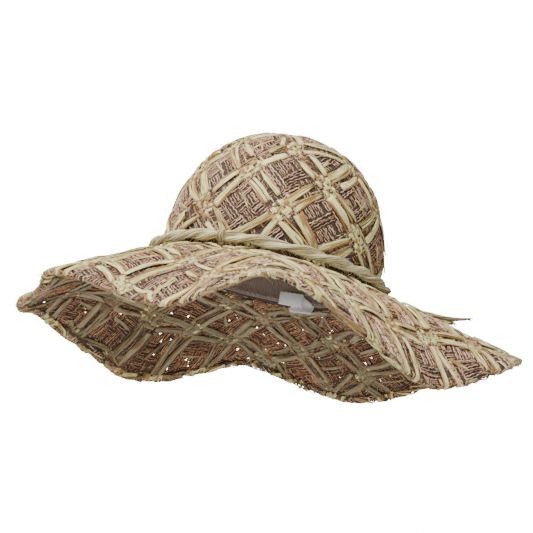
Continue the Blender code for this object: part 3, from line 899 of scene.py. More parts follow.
def build_rope(material):
    angle = np.linspace(KNOT_ANGLE + ROPE_TUCK, KNOT_ANGLE + 360 - ROPE_TUCK, ROPE_RINGS)
    centre, outward = rope_centre(angle)
    for letter, phase in (("a", 0.0), ("b", math.pi)):
        twist = rope_turn(angle) + phase
        side = outward * np.cos(twist)[:, None] + UP * np.sin(twist)[:, None]
        wander = 1 + 0.07 * np.sin(np.radians(angle) * 17 + phase * 2)
        line = centre + side * (STRAND_ORBIT * PLY_CLOSER * wander)[:, None]
        swell = 1.0 + 0.07 * np.sin(np.radians(angle) * 23 + phase * 3 + 1)
        radius = STRAND_RADIUS * PLY_SWELL * swell
        pile = Pile()
        add_bundle(pile, line, side, radius, FIBRE_LAY)
        for _ in range(ROPE_FIBRES):
            k = RANDOM.integers(6, ROPE_RINGS - 12)
            heading = unit(line[k + 3] - line[k])
            normal = unit(side[k] + np.array([0, 0, RANDOM.uniform(0.2, 1.2)]))
            start = line[k] + normal * radius[k] * 0.9
            heading = unit(heading - normal * (heading @ normal))
            length, lift = RANDOM.uniform(0.006, 0.018), abs(RANDOM.normal()) * 0.0016
            width = RANDOM.uniform(0.0004, 0.0009)
            add_loose_fibre(pile, start, heading, normal, length, lift, width)
        strand = pile.build(f"hatband_rope_{letter}", material, "raffia")
        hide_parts(f"hatband_strand_{letter}")


def knot_line(count):
    """The trefoil that the knot follows, and its middle."""
    base, outward = oval(np.array([KNOT_ANGLE]))
    outward = flat_up(outward)[0]
    middle = np.append(base[0], KNOT_HEIGHT) + outward * KNOT_OFFSET
    across = np.array([-outward[1], outward[0], 0])
    turn = np.arange(count) * 2 * math.pi / count
    reach = KNOT_RING + KNOT_ORBIT * np.cos(3 * turn)
    flat = across * np.cos(2 * turn)[:, None] + UP * np.sin(2 * turn)[:, None]
    rise = outward * (KNOT_ORBIT * np.sin(3 * turn))[:, None]
    return middle + flat * reach[:, None] + rise, middle


def build_knot(material):
    line, middle = knot_line(KNOT_RINGS)
    pile = Pile()
    normals = unit(line - middle)
    turn = np.arange(KNOT_RINGS) * 2 * math.pi * 4 / KNOT_RINGS
    radius = KNOT_RADIUS * (0.98 + 0.05 * np.sin(turn))
    add_bundle(pile, line, normals, radius, 0.0, closed=True)
    for _ in range(KNOT_FIBRES):
        k = RANDOM.integers(KNOT_RINGS)
        heading = unit(line[(k + 2) % KNOT_RINGS] - line[k])
        start = line[k] + normals[k] * KNOT_RADIUS * 0.8
        heading = unit(heading - normals[k] * (heading @ normals[k]))
        add_loose_fibre(pile, start, heading, normals[k], RANDOM.uniform(0.004, 0.010), 0.002)
    knot = pile.build("hatband_rope_knot", material, "raffia")
    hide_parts("hatband_knot")


def build_keepers(material):
    """Loops of leaf that tack the rope down, each wound three times round it."""
    around = np.arange(KEEPER_POINTS) * 2 * math.pi / KEEPER_POINTS
    for number, angle in enumerate(KEEPER_ANGLES, start=1):
        centre, outward = rope_centre(np.array([angle, angle + 0.5]))
        tangent = unit(centre[1] - centre[0])
        pile = Pile()
        for place in (-1, 0, 1):
            twist = rope_turn(angle)
            reach = STRAND_ORBIT * PLY_CLOSER * np.abs(np.cos(around - twist))
            reach = reach + STRAND_RADIUS * PLY_SWELL
            reach = reach + 0.0003 + RANDOM.uniform(0, 0.0002)
            side = outward[0] * np.cos(around)[:, None] + UP * np.sin(around)[:, None]
            slide = place * KEEPER_WIDTH / 3 + 0.0008 * np.sin(around + place)
            points = centre[0] + side * reach[:, None] + tangent * slide[:, None]
            width = KEEPER_WIDTH * RANDOM.uniform(0.36, 0.44)
            add_ribbon(pile, points, side, width, 0.0006, RANDOM.uniform(), closed=True)
        keeper = pile.build(f"hatband_tack_{number}", material, "raffia")
        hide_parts(f"hatband_keeper_{number}")


def smooth_route(route, count):
    """Evenly spaced points on a smooth curve through a route's points."""
    knots = np.array(route)
    padded = np.vstack([2 * knots[0] - knots[1], knots, 2 * knots[-1] - knots[-2]])
    fine = []
    for near in zip(padded, padded[1:], padded[2:], padded[3:]):
        for share in np.arange(20) / 20:
            rows = [[(step, near[step + 1][k]) for step in (-1, 0, 1, 2)] for k in range(3)]
            fine.append([hermite(*row, share) for row in rows])
    return resample(np.vstack([fine, knots[-1]]), count)


def frayed_end(name, line, width, count, spread, length, material):
    """Leaves that part from each other at a rope's cut end."""
    pile = Pile()
    heading = unit(line[-1] - line[-4])
    sideways = unit(np.cross(UP, heading))
    for place in np.linspace(-1, 1, count):
        share = np.linspace(0, 1, 9)
        reach = length * RANDOM.uniform(0.6, 1.0)
        side = place * (width / 2 + spread * share ** 1.4) + RANDOM.normal() * 0.0006 * share
        height = 0.0008 * (1 - place * place) + RANDOM.normal() * 0.0012 * share ** 2
        points = line[-3] + heading * (reach * share)[:, None]
        points = points + sideways * side[:, None] + UP * height[:, None]
        leaf = RANDOM.uniform(0.0010, 0.0022) * (1 - 0.35 * share)
        add_ribbon(pile, points, np.broadcast_to(UP, points.shape), leaf, 0.0005, RANDOM.uniform())
    return pile.build(name, material, "raffia")


def build_tail(letter, route, radius, material, end):
    """A free end of the rope, which lies on the brim and ends cut off."""
    line = smooth_route(route, 90)
    pile = Pile()
    share = np.linspace(0, 1, len(line))
    taper = 1 - end["taper"] * smooth((share - 0.90) / 0.10)
    normals = np.broadcast_to([0.0, 0.0, 1.0], line.shape)
    add_bundle(pile, line, normals, radius * taper, 12.0, 5)
    tail = pile.build(f"hatband_rope_tail_{letter}", material, "raffia")
    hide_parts(f"hatband_tail_{letter}")
    name = f"hatband_rope_tail_{letter}_fray"
    fray = frayed_end(name, line, radius, end["leaves"], end["spread"], end["length"], material)


def build_tails(pale, olive):
    end_a = {"taper": 0.35, "leaves": 4, "spread": 0.0012, "length": 0.010}
    end_b = {"taper": 0.10, "leaves": 7, "spread": 0.0018, "length": 0.007}
    build_tail("a", TAIL_A_ROUTE, TAIL_A_RADIUS, olive, end_a)
    build_tail("b", TAIL_B_ROUTE, TAIL_B_RADIUS, pale, end_b)


# ---------------------------------------------------------------- brim border and hem
BORDER_WIDTH = 0.0027
BORDER_POINTS = 1400
BORDER_LENGTHS = (0.010, 0.034)   # of its strips
BORDER_LAYERS = (                 # share of strips laid end to end, and height over the edge
    (0.45, 0.0), (0.25, 0.0006),
)
BORDER_FIBRES = 90
HEM_POINTS = 1400
HEM_STITCH = 0.0042               # seen on top, and the gap to the next, where it shows below
HEM_STITCH_GAP = 0.0026
HEM_THREAD_RADIUS = 0.00036
HEM_STANDOFF = 0.0002


def build_border(material):
    """Strips of leaf laid along the folded edge, one after another, in two loose layers."""
    angle = np.arange(BORDER_POINTS) * 360 / BORDER_POINTS
    reach = brim_wave(angle)[0]
    edge, normals = brim_surface(angle, 1 + FOLD_START / reach)
    out = unit(edge - brim_surface(angle, 1 - 0.002 / reach)[0])
    edge = edge - normals * FOLD_RADIUS
    step = np.linalg.norm(edge - np.roll(edge, 1, axis=0), axis=1).mean()
    pile = Pile()
    for share, rise in BORDER_LAYERS:
        at = RANDOM.integers(20)
        while at < BORDER_POINTS - 10:
            count = int(RANDOM.uniform(*BORDER_LENGTHS) / step)
            index = np.arange(at, at + count, 2) % BORDER_POINTS
            run = np.linspace(0, 1, len(index))
            lean = RANDOM.normal() * 0.8 + RANDOM.normal() * 1.0 * run
            facing = unit(out[index] + normals[index] * lean[:, None])
            tuck = 1 - smooth(np.minimum(run, 1 - run) * count * step / 0.003)
            lift = FOLD_RADIUS + 0.0005 + rise - 0.0009 * tuck + 0.0004 * np.sin(run * 9 + at)
            points = edge[index] + facing * lift[:, None]
            width = BORDER_WIDTH * RANDOM.uniform(0.55, 1.15) * (1 - 0.15 * tuck)
            add_ribbon(pile, points, facing, width, 0.0010, RANDOM.uniform(0, 1.6), -0.15)
            at += count if RANDOM.uniform() < share else int(count * RANDOM.uniform(1.4, 3.0))
    for _ in range(BORDER_FIBRES):
        k = RANDOM.integers(BORDER_POINTS)
        heading = unit(edge[(k + 1) % BORDER_POINTS] - edge[k] + out[k] * RANDOM.uniform(0, 0.0006))
        start = edge[k] + out[k] * 0.0012
        length, lift = RANDOM.uniform(0.004, 0.012), RANDOM.uniform(0, 0.003)
        add_loose_fibre(pile, start, heading, out[k], length, lift)
    border = pile.build("brim_edge_strips", material, "woven_straw")
    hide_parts("brim_edge_roll")


def build_hem(material):
    """The stitches that hold the turned-in edge, seen on both faces of the brim."""
    angle = np.linspace(0, 360, HEM_POINTS)
    share = np.full(HEM_POINTS, HEM_SHARE)
    pile = Pile()
    top, normals = brim_surface(angle, share, -HEM_STANDOFF)
    running_stitch(pile, top, normals, HEM_STITCH, HEM_STITCH_GAP, HEM_THREAD_RADIUS)
    under, normals = brim_surface(angle, share, STRAW_THICKNESS + HEM_STANDOFF)
    running_stitch(
        pile, under, -normals, HEM_STITCH_GAP, HEM_STITCH, HEM_THREAD_RADIUS, first=HEM_STITCH,
    )
    hem = pile.build("brim_hem_stitches", material, "thread")
    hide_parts("brim_hem_thread")


# ---------------------------------------------------------------- sweatband and labels
RIB_PITCH = 0.0016
RIB_DEPTH = 0.00014
BAND_COLUMNS_PER_RIB = 4
HEM_DEPTH = 0.004
HEM_FOLD = 0.00035                # how far the turned hem stands proud of the rest
SWEATBAND_ROWS = (                # heights of the band's rows of points, closest at its hems
    0, 0.0006, 0.0026, HEM_DEPTH, 0.0046, 0.0085, 0.0145, 0.0205, 0.0234, 0.024, 0.0256, 0.0274,
    SWEATBAND_HEIGHT,
)
BAND_STITCH = 0.0032
BAND_STITCH_GAP = 0.0014
LABEL_STITCH = 0.0024
LABEL_STITCH_GAP = 0.0012
SEWING_RADIUS = 0.0003
LABEL_COLUMNS = 22
LABEL_ROWS = 20


def crown_wall(angle, height, inset):
    """Points on the crown's wall, inset level from its outer face, and the outward directions."""
    base, outward = oval(angle)
    climb = np.arcsin(np.clip(height / CROWN_HEIGHT, 0, 1) ** (CROWN_ROUNDNESS / 2))
    narrowing = np.cos(climb) ** (2 / CROWN_ROUNDNESS)
    flat = base * np.asarray(narrowing)[..., None] - outward * np.asarray(inset)[..., None]
    return np.column_stack([flat, np.broadcast_to(height, flat.shape[:1])]), flat_up(outward)


def sweatband_inset(past):
    """From the crown's outer face in to the band's outer face, past degrees on from its seam."""
    share = np.clip((past - 360 + 2 * SWEATBAND_LAP) / SWEATBAND_LAP, 0, 1)
    return STRAW_THICKNESS + 2 * GAP + share * (SWEATBAND_THICKNESS + 2 * GAP)


def build_sweatband(material):
    """A ribbed cloth band with a turned hem along both edges, lapped where its ends meet."""
    perimeter = math.pi * (CROWN_HALF_WIDTH + CROWN_HALF_LENGTH - 2 * sweatband_inset(0.0))
    ribs = round(perimeter * (360 + SWEATBAND_LAP) / 360 / RIB_PITCH)
    count = ribs * BAND_COLUMNS_PER_RIB
    past = np.linspace(0, 360 + SWEATBAND_LAP, count + 1)
    rib = RIB_DEPTH * np.cos(2 * math.pi * np.arange(count + 1) / BAND_COLUMNS_PER_RIB)
    pucker = 0.00025 * np.sin(np.radians(past) * 37) + 0.0002 * np.sin(np.radians(past) * 91 + 1)
    rows = np.array(SWEATBAND_ROWS)
    hem = np.where((rows <= HEM_DEPTH) | (rows >= SWEATBAND_HEIGHT - HEM_DEPTH), HEM_FOLD, 0.0)
    hem[0] = hem[-1] = 0.0
    near = sweatband_inset(past)
    rings = []
    for height in (rows[0], SWEATBAND_HEIGHT / 2, rows[-1]):
        rings.append(crown_wall(SWEATBAND_SEAM_ANGLE + past, height, near)[0])
    for height, fold in zip(rows[::-1], hem[::-1]):
        free = 1 - (2 * height / SWEATBAND_HEIGHT - 1) ** 2
        inset = near + SWEATBAND_THICKNESS + rib + fold + pucker * (0.4 + free)
        rings.append(crown_wall(SWEATBAND_SEAM_ANGLE + past, height, inset)[0])
    loops = np.stack(rings, 1)[:, ::-1]
    across = np.concatenate([[-1, 0, 1], 2 * rows[::-1] / SWEATBAND_HEIGHT - 1])[::-1]
    pile = Pile()
    pile.add(loops, np.arange(count + 1) * RIB_PITCH / BAND_COLUMNS_PER_RIB, across, 0.5)
    band = pile.build("sweatband_ribbed_cloth", material, "sweatband_cloth")
    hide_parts("sweatband")
    return band, (SWEATBAND_HEIGHT, perimeter * (360 + SWEATBAND_LAP) / 360)


def build_sweatband_stitches(material):
    past = np.linspace(0.5, 360 + SWEATBAND_LAP - 0.5, 1000)
    pieces = []
    for name, height in SEAM_THREAD_HEIGHTS.items():
        inset = sweatband_inset(past) + SWEATBAND_THICKNESS + 0.0005
        line, outward = crown_wall(SWEATBAND_SEAM_ANGLE + past, height, inset)
        pile = Pile()
        running_stitch(pile, line, -outward, BAND_STITCH, BAND_STITCH_GAP, SEWING_RADIUS)
        stitches = pile.build(name.replace("thread", "stitches"), material, "thread")
        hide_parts(name)
        pieces.append(stitches)
    return pieces


def label_frame():
    """The labels' top middle, and their sideways, inward, down and face directions."""
    inset = sweatband_inset(0.0) + SWEATBAND_THICKNESS + LABEL_STANDOFF
    top, outward = crown_wall(np.array([LABEL_ANGLE]), LABEL_TOP, inset)
    inward = -outward[0]
    sideways = np.array([inward[1], -inward[0], 0])
    sideways = sideways if sideways[0] > 0 else -sideways
    hang = math.radians(LABEL_HANG)
    down = inward * math.sin(hang) - np.array([0, 0, math.cos(hang)])
    face = unit(np.cross(sideways, down))
    return top[0], sideways, inward, down, face if face @ inward > 0 else -face


def build_label(name, node_name, size, top, curve, lean, material):
    """A soft cloth label: a thin sheet hung from its sewn top edge, bent and pulled aside."""
    _, sideways, _, down, face = label_frame()
    width, length = size
    u = np.linspace(-1, 1, LABEL_COLUMNS)
    v = np.linspace(0, 1, LABEL_ROWS)
    across, along = np.meshgrid(u, v)
    bend = curve(across, along)
    surface = (
        top
        + sideways * (across * width / 2 + lean(along))[..., None]
        + down * (along * length)[..., None]
        + face * bend[..., None]
    )
    half = face * LABEL_THICKNESS / 2
    loops = np.concatenate([surface - half, (surface + half)[:, ::-1]], axis=1)
    pile = Pile()
    pile.add(loops, v * length, np.concatenate([u, u[::-1]]), 0.5)
    label = pile.build(name, material, "label_cloth", node_name)
    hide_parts(node_name)
    return label


def brand_curve(u, v):
    """A gentle billow, with two soft creases down its right part."""
    crease = np.exp(-((u - 0.35) / 0.05) ** 2) + 0.7 * np.exp(-((u - 0.62) / 0.05) ** 2)
    return 0.0006 * np.sin(math.pi * v) - 0.00035 * crease * smooth(v * 2) + 0.0010 * v * v * u * u


def care_curve(u, v):
    """Limp cloth whose free lower corner curls forward."""
    corner = smooth((v - 0.55) / 0.45) * (0.35 + 0.65 * smooth((u + 1) / 2))
    return 0.0032 * corner + 0.0002 * np.sin(5 * u)


def care_lean(v):
    """Its sewn end is hidden behind the upper label, and lower down it hangs out past that one."""
    return CARE_LABEL_SHIFT * (2.2 * smooth(v / 0.55) - 1)


def brand_lean(v):
    return 0.0015 * smooth(v)


def build_labels(satin, half_shaded_satin, stitch_material):
    top, sideways, inward, _, face = label_frame()
    pitch = LABEL_THICKNESS + 2 * GAP
    care_top = top + sideways * CARE_LABEL_SHIFT
    build_label(
        "care_label_satin", "care_label", CARE_LABEL_SIZE, care_top, care_curve, care_lean, satin,
    )
    brand_top = top + face * pitch
    build_label(
        "brand_label_satin", "brand_label", BRAND_LABEL_SIZE, brand_top, brand_curve, brand_lean,
        half_shaded_satin,
    )
    reach = BRAND_LABEL_SIZE[0] / 2
    places = np.linspace(-reach, reach + 0.004, 40)
    line = top + UP * 2.4 * GAP + sideways * places[:, None]
    inwards = np.broadcast_to(inward, line.shape)
    pile = Pile()
    running_stitch(pile, line, inwards, LABEL_STITCH, LABEL_STITCH_GAP, SEWING_RADIUS)
    stitches = pile.build("label_stitches", stitch_material, "thread")
    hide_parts("label_stitch")


# ---------------------------------------------------------------- loose ends of the weave
CROWN_FIBRES = 170
BRIM_FIBRES = 220
TORN_LEAVES = (                   # angle round the crown, distance up from its seam, and length
    (-8, 0.088, 0.020), (-5, 0.074, 0.024), (-3, 0.060, 0.022), (2, 0.046, 0.020),
    (171, 0.050, 0.012),
)


def add_broken_end(pile, start, normal, most_lift):
    """A short end of leaf that points any way along the surface."""
    heading = unit(RANDOM.normal(size=3))
    heading = unit(heading - normal * (heading @ normal))
    length, lift = RANDOM.uniform(0.003, 0.010), RANDOM.uniform(0.0003, most_lift)
    add_loose_fibre(pile, start, heading, normal, length, lift, RANDOM.uniform(0.0003, 0.0008))


def build_loose_fibres(material):
    """Short broken ends that stand out of the crown and the brim, and a few torn leaves."""
    pile = Pile()
    for _ in range(CROWN_FIBRES):
        angle, climbed = RANDOM.uniform(0, 360), RANDOM.uniform(0.01, 0.95) * CROWN_ARC[-1]
        start, normals = crown_surface(np.array([angle]), np.array([climbed]), -0.0002)
        add_broken_end(pile, start[0], normals[0], 0.0022)
    for _ in range(BRIM_FIBRES):
        side = RANDOM.choice([-1, 1])
        inset = -0.0002 if side > 0 else STRAW_THICKNESS + 0.0002
        angle, share = RANDOM.uniform(0, 360), RANDOM.uniform(0.15, 0.97)
        start, normals = brim_surface(np.array([angle]), np.array([share]), inset)
        add_broken_end(pile, start[0], normals[0] * side, 0.0020)
    for angle, climbed, length in TORN_LEAVES:
        start, normals = crown_surface(np.array([angle]), np.array([climbed]), -0.0006)
        heading = unit(normals[0] * 0.25 - UP)
        add_loose_fibre(pile, start[0], heading, normals[0], length, 0.0018, 0.0056)
    pile.build("weave_loose_fibres", material, "raffia")


# ---------------------------------------------------------------- materials
WHITE = (1, 1, 1)
STRIP_COLOURS = (                 # pale, middling and stained
    (0.84, 0.80, 0.36), (0.62, 0.54, 0.22), (0.40, 0.21, 0.045),
)
# the underside's leaf is the same as the top's; these darker colours are painted shade, the brim's
# underside lying in shadow
UNDERSIDE_SHADED_COLOURS = ((0.30, 0.25, 0.13), (0.23, 0.18, 0.085), (0.18, 0.095, 0.03))
ROPE_COLOURS = ((0.82, 0.80, 0.49), (0.52, 0.45, 0.22), (0.35, 0.20, 0.06))
OLIVE_COLOURS = ((0.38, 0.33, 0.16), (0.24, 0.19, 0.085), (0.16, 0.10, 0.04))
BORDER_COLOURS = ((0.48, 0.44, 0.22), (0.36, 0.29, 0.13), (0.28, 0.15, 0.05))
STRAW_COLOURS = ((0.82, 0.56, 0.37), (0.38, 0.21, 0.12))    # light and dark
# near black: painted shade that shows through the gaps between the threads
GROUND_SHADE_COLOURS = ((0.016, 0.010, 0.007), (0.095, 0.055, 0.038))
COTTON_COLOURS = ((0.46, 0.38, 0.28), (0.24, 0.18, 0.13))
LABEL_COTTON_COLOURS = ((0.72, 0.71, 0.68), (0.50, 0.48, 0.45))
CLOTH_COLOURS = ((0.125, 0.085, 0.060), (0.28, 0.205, 0.155))
SATIN_WHITE = (0.92, 0.92, 0.92)
# grey: painted shade on the brand label's upper half
SATIN_SHADED_GREY = (0.78, 0.78, 0.81)


def new_material(name):
    material = bpy.data.materials.new(name)
    material.use_nodes = True
    return material, material.node_tree, material.node_tree.nodes["Principled BSDF"]


def node(tree, kind, **settings):
    made = tree.nodes.new(kind)
    for key, value in settings.items():
        setattr(made, key, value)
    return made


def ramp(tree, factor, *stops):
    made = node(tree, "ShaderNodeValToRGB")
    elements = made.color_ramp.elements
    while len(elements) < len(stops):
        elements.new(0.5)
    for element, (place, colour) in zip(elements, stops):
        element.position = place
        element.color = (*colour, 1)
    tree.links.new(factor, made.inputs[0])
    return made.outputs[0]


def maths(tree, operation, a, b=0.5):
    made = node(tree, "ShaderNodeMath", operation=operation)
    for socket, value in zip(made.inputs, (a, b)):
        if isinstance(value, (int, float)):
            socket.default_value = value
        else:
            tree.links.new(value, socket)
    return made.outputs[0]


def add_share(tree, total, share, extra):
    """total with a share of extra added to it."""
    return maths(tree, "ADD", maths(tree, "MULTIPLY", extra, share), total)


def mix(tree, factor, a, b, blend="MIX"):
    made = node(tree, "ShaderNodeMix", data_type="RGBA", blend_type=blend)
    for socket, value in ((made.inputs[0], factor), (made.inputs[6], a), (made.inputs[7], b)):
        if isinstance(value, (int, float)):
            socket.default_value = value
        elif isinstance(value, tuple):
            socket.default_value = (*value, 1)
        else:
            tree.links.new(value, socket)
    return made.outputs[2]


def fibre_input(tree):
    """Along, across and tone of the strand, as three sockets."""
    source = node(tree, "ShaderNodeAttribute", attribute_name="fibre")
    split = node(tree, "ShaderNodeSeparateXYZ")
    tree.links.new(source.outputs["Vector"], split.inputs[0])
    return split.outputs


def noise(tree, along, across, tone, along_scale, across_scale, detail=2.0):
    """Noise stretched along a strand; tone keeps two strands apart."""
    joined = node(tree, "ShaderNodeCombineXYZ")
    tree.links.new(maths(tree, "MULTIPLY", along, along_scale), joined.inputs[0])
    tree.links.new(maths(tree, "MULTIPLY", across, across_scale), joined.inputs[1])
    tree.links.new(maths(tree, "MULTIPLY", tone, 60.0), joined.inputs[2])
    made = node(tree, "ShaderNodeTexNoise")
    made.inputs["Scale"].default_value = 1.0
    made.inputs["Detail"].default_value = detail
    tree.links.new(joined.outputs[0], made.inputs["Vector"])
    return made.outputs["Fac"]


def add_bump(tree, shader, height, strength, distance):
    bump = node(tree, "ShaderNodeBump")
    bump.inputs["Strength"].default_value = strength
    bump.inputs["Distance"].default_value = distance
    tree.links.new(height, bump.inputs["Height"])
    tree.links.new(bump.outputs[0], shader.inputs["Normal"])


def set_surface(tree, shader, colour, roughness, specular=0.5, sheen=0.0):
    tree.links.new(colour, shader.inputs["Base Color"])
    shader.inputs["Roughness"].default_value = roughness
    shader.inputs["Specular IOR Level"].default_value = specular
    shader.inputs["Sheen Weight"].default_value = sheen


def raffia_material(name, pale, mid, ochre, ochre_share=0.5):
    """Dried palm leaf: pale, with lengthwise fibres and ochre stains, mostly along its edges."""
    material, tree, shader = new_material(name)
    along, across, tone = fibre_input(tree)
    fibres = noise(tree, along, across, tone, 90, 7.0, 4.0)
    blotch = noise(tree, along, across, tone, 55, 0.8)
    edge = maths(tree, "POWER", maths(tree, "ABSOLUTE", across), 3.0)
    stain = add_share(tree, add_share(tree, blotch, 0.27, edge), 0.22, tone)
    body = ramp(tree, fibres, (0.32, mid), (0.58, pale))
    least, most = 0.80 - 0.3 * ochre_share, 0.90 - 0.2 * ochre_share
    amount = ramp(tree, stain, (least, (0, 0, 0)), (most, WHITE))
    colour = mix(tree, amount, body, ochre)
    dark = ramp(tree, fibres, (0.34, (0.34, 0.25, 0.16)), (0.48, WHITE))
    colour = mix(tree, 0.85, colour, dark, "MULTIPLY")
    leaf = maths(tree, "FRACT", maths(tree, "MULTIPLY", tone, 23.0))
    age = ramp(tree, leaf, (0.0, (0.66, 0.66, 0.56)), (0.45, WHITE))
    colour = mix(tree, 1.0, colour, age, "MULTIPLY")
    set_surface(tree, shader, colour, roughness=0.55, specular=0.35, sheen=0.12)
    crinkle = noise(tree, along, across, tone, 420, 2.0)
    add_bump(tree, shader, add_share(tree, fibres, 0.5, crinkle), 0.9, 0.0005)
    return material


def thread_material(name, light, dark):
    """Fine crinkled straw thread, in tones that change from thread to thread, with painted shade:
    darker low down, where threads cross and in patches.
    """
    material, tree, shader = new_material(name)
    along, depth, tone = fibre_input(tree)
    twist = noise(tree, along, depth, tone, 900, 0.2)
    patch = noise(tree, along, depth, tone, 60, 0.1)
    shade = add_share(tree, maths(tree, "MULTIPLY", tone, 0.55), 0.6, patch)
    colour = ramp(tree, shade, (0.2, dark), (0.85, light))
    grain = ramp(tree, twist, (0.3, (0.55, 0.50, 0.46)), (0.6, WHITE))
    colour = mix(tree, 0.7, colour, grain, "MULTIPLY")
    # painted shadow: dark noise patches along the threads, as if shade fell in the gaps
    shadow = noise(tree, along, depth, tone, 300, 0.2, 1.0)
    gaps = ramp(tree, shadow, (0.37, (0.22, 0.16, 0.12)), (0.46, WHITE))
    colour = mix(tree, 0.85, colour, gaps, "MULTIPLY")
    # painted shade: a thread darkens where it sinks to the middle of the weave at its crossings
    across = maths(tree, "SUBTRACT", maths(tree, "MULTIPLY", depth, 2.0), 1.0)
    from_middle = maths(tree, "ABSOLUTE", across)
    low = ramp(tree, from_middle, (0.0, (0.42, 0.34, 0.30)), (0.85, WHITE))
    colour = mix(tree, 1.0, colour, low, "MULTIPLY")
    # painted shade on the threads that lie low, the layer that faces the brim's underside
    low_side_shade = ramp(tree, depth, (0.15, (0.80, 0.62, 0.48)), (0.6, WHITE))
    colour = mix(tree, 1.0, colour, low_side_shade, "MULTIPLY")
    set_surface(tree, shader, colour, roughness=0.65, specular=0.25)
    add_bump(tree, shader, twist, 0.5, 0.0003)
    return material


def core_material():
    """The ground weave under the threads, near black as painted shade that shows in their gaps."""
    material, tree, shader = new_material("ground_weave")
    place = node(tree, "ShaderNodeTexCoord")
    grain = node(tree, "ShaderNodeTexNoise")
    grain.inputs["Scale"].default_value = 900
    grain.inputs["Detail"].default_value = 3
    tree.links.new(place.outputs["Object"], grain.inputs["Vector"])
    colour = ramp(tree, grain.outputs["Fac"], *zip((0.35, 0.7), GROUND_SHADE_COLOURS))
    set_surface(tree, shader, colour, roughness=0.9)
    add_bump(tree, shader, grain.outputs["Fac"], 0.7, 0.0005)
    return material


def cotton_material(name, light, dark):
    """Plied sewing thread."""
    material, tree, shader = new_material(name)
    along, depth, tone = fibre_input(tree)
    ply = maths(tree, "SINE", maths(tree, "MULTIPLY", along, 5200.0))
    grain = noise(tree, along, depth, tone, 700, 0.3)
    # the ply term darkens the thread in its twist's grooves: painted shade
    shade = add_share(tree, grain, 0.16, ply)
    set_surface(tree, shader, ramp(tree, shade, (0.3, dark), (0.7, light)), roughness=0.7)
    add_bump(tree, shader, ply, 0.4, 0.0001)
    return material


def rib_cloth_material():
    """Ribbed grosgrain: lighter on the ribs and darker between them as painted shade, with a fine
    cross weave and slight wear.
    """
    material, tree, shader = new_material("ribbed_cloth")
    along, across, tone = fibre_input(tree)
    rib = maths(tree, "SINE", maths(tree, "MULTIPLY", along, 2 * math.pi / RIB_PITCH))
    weave = maths(tree, "SINE", maths(tree, "MULTIPLY", across, 160.0))
    speckle = noise(tree, along, across, tone, 1500, 30.0)
    wear = noise(tree, along, across, tone, 45, 1.5)
    # the rib term darkens the cloth between the ribs: painted shade
    shade = add_share(tree, speckle, 0.10, rib)
    colour = ramp(tree, shade, *zip((0.30, 0.72), CLOTH_COLOURS))
    faded = ramp(tree, wear, (0.35, (0.80, 0.80, 0.80)), (0.65, WHITE))
    colour = mix(tree, 0.8, colour, faded, "MULTIPLY")
    set_surface(tree, shader, colour, roughness=0.85, sheen=0.3)
    add_bump(tree, shader, add_share(tree, speckle, 0.3, weave), 0.5, 0.0002)
    return material


def satin_material(name, upper, lower, half):
    """Woven satin label: a fine weave with a soft shine, of two tones when half is inside it; the
    brand label's grey upper tone is painted shade.
    """
    material, tree, shader = new_material(name)
    along, across, tone = fibre_input(tree)
    warp = maths(tree, "SINE", maths(tree, "MULTIPLY", across, 150.0))
    weft = maths(tree, "SINE", maths(tree, "MULTIPLY", along, 9000.0))
    cloth = add_share(tree, maths(tree, "MULTIPLY", warp, 0.5), 0.5, weft)
    crumple = noise(tree, along, across, tone, 220, 2.5)
    step = ramp(tree, maths(tree, "SUBTRACT", along, half - 0.5), (0.4995, upper), (0.5005, lower))
    # darker in the hollows of the crumple bump: painted shade
    crumple_shade = ramp(tree, crumple, (0.3, (0.92, 0.91, 0.90)), (0.6, WHITE))
    colour = mix(tree, 0.8, step, crumple_shade, "MULTIPLY")
    set_surface(tree, shader, colour, roughness=0.42, sheen=0.2)
    add_bump(tree, shader, add_share(tree, crumple, 0.25, cloth), 0.35, 0.0002)
    return material


# ---------------------------------------------------------------- ground weave, near black: painted shade in the gaps
CROWN_COLUMNS = 270
CROWN_RINGS = 76
BRIM_COLUMNS = 560
BRIM_RINGS = 54
FOLD_STEPS = (0, 0.25, 0.5, 0.75, 1, 1.5, 2.2, FOLD_WIDTH / FOLD_RADIUS / math.pi)    # half turns
TURNED_UP = 0.004                 # of the brim's inner edge, inside the crown
HOLES_BESIDE = (0.0068, 0.0086)   # from a band's middle, where its gaps let light through
HOLES_AWAY = 0.0066               # and how far those gaps keep from the band that crosses it
BESIDE_CHANCE = 0.22
CELL_CHANCE = 0.025


def build_sheet(name, rows, keep, material):
    """A sheet through rings of points; keep says which of its faces are there."""
    rings, columns, _ = rows.shape
    index = np.arange(rings * columns).reshape(rings, columns)
    after = np.roll(index, -1, 1)
    faces = np.stack([index[:-1], after[:-1], after[1:], index[1:]], -1)[keep]
    mesh = bpy.data.meshes.new(name)
    mesh.from_pydata(rows.reshape(-1, 3).tolist(), [], faces.tolist())
    add_piece(name, mesh, material)


def build_crown_ground(material):
    angles = np.arange(CROWN_COLUMNS) * 360 / CROWN_COLUMNS
    climbs = np.linspace(0.0005, CROWN_ARC[-1] - 0.0004, CROWN_RINGS)
    rows = np.stack([crown_surface(angles, np.full(CROWN_COLUMNS, c))[0] for c in climbs])
    keep = np.ones((CROWN_RINGS - 1, CROWN_COLUMNS), bool)
    build_sheet("crown_ground_weave", rows, keep, material)


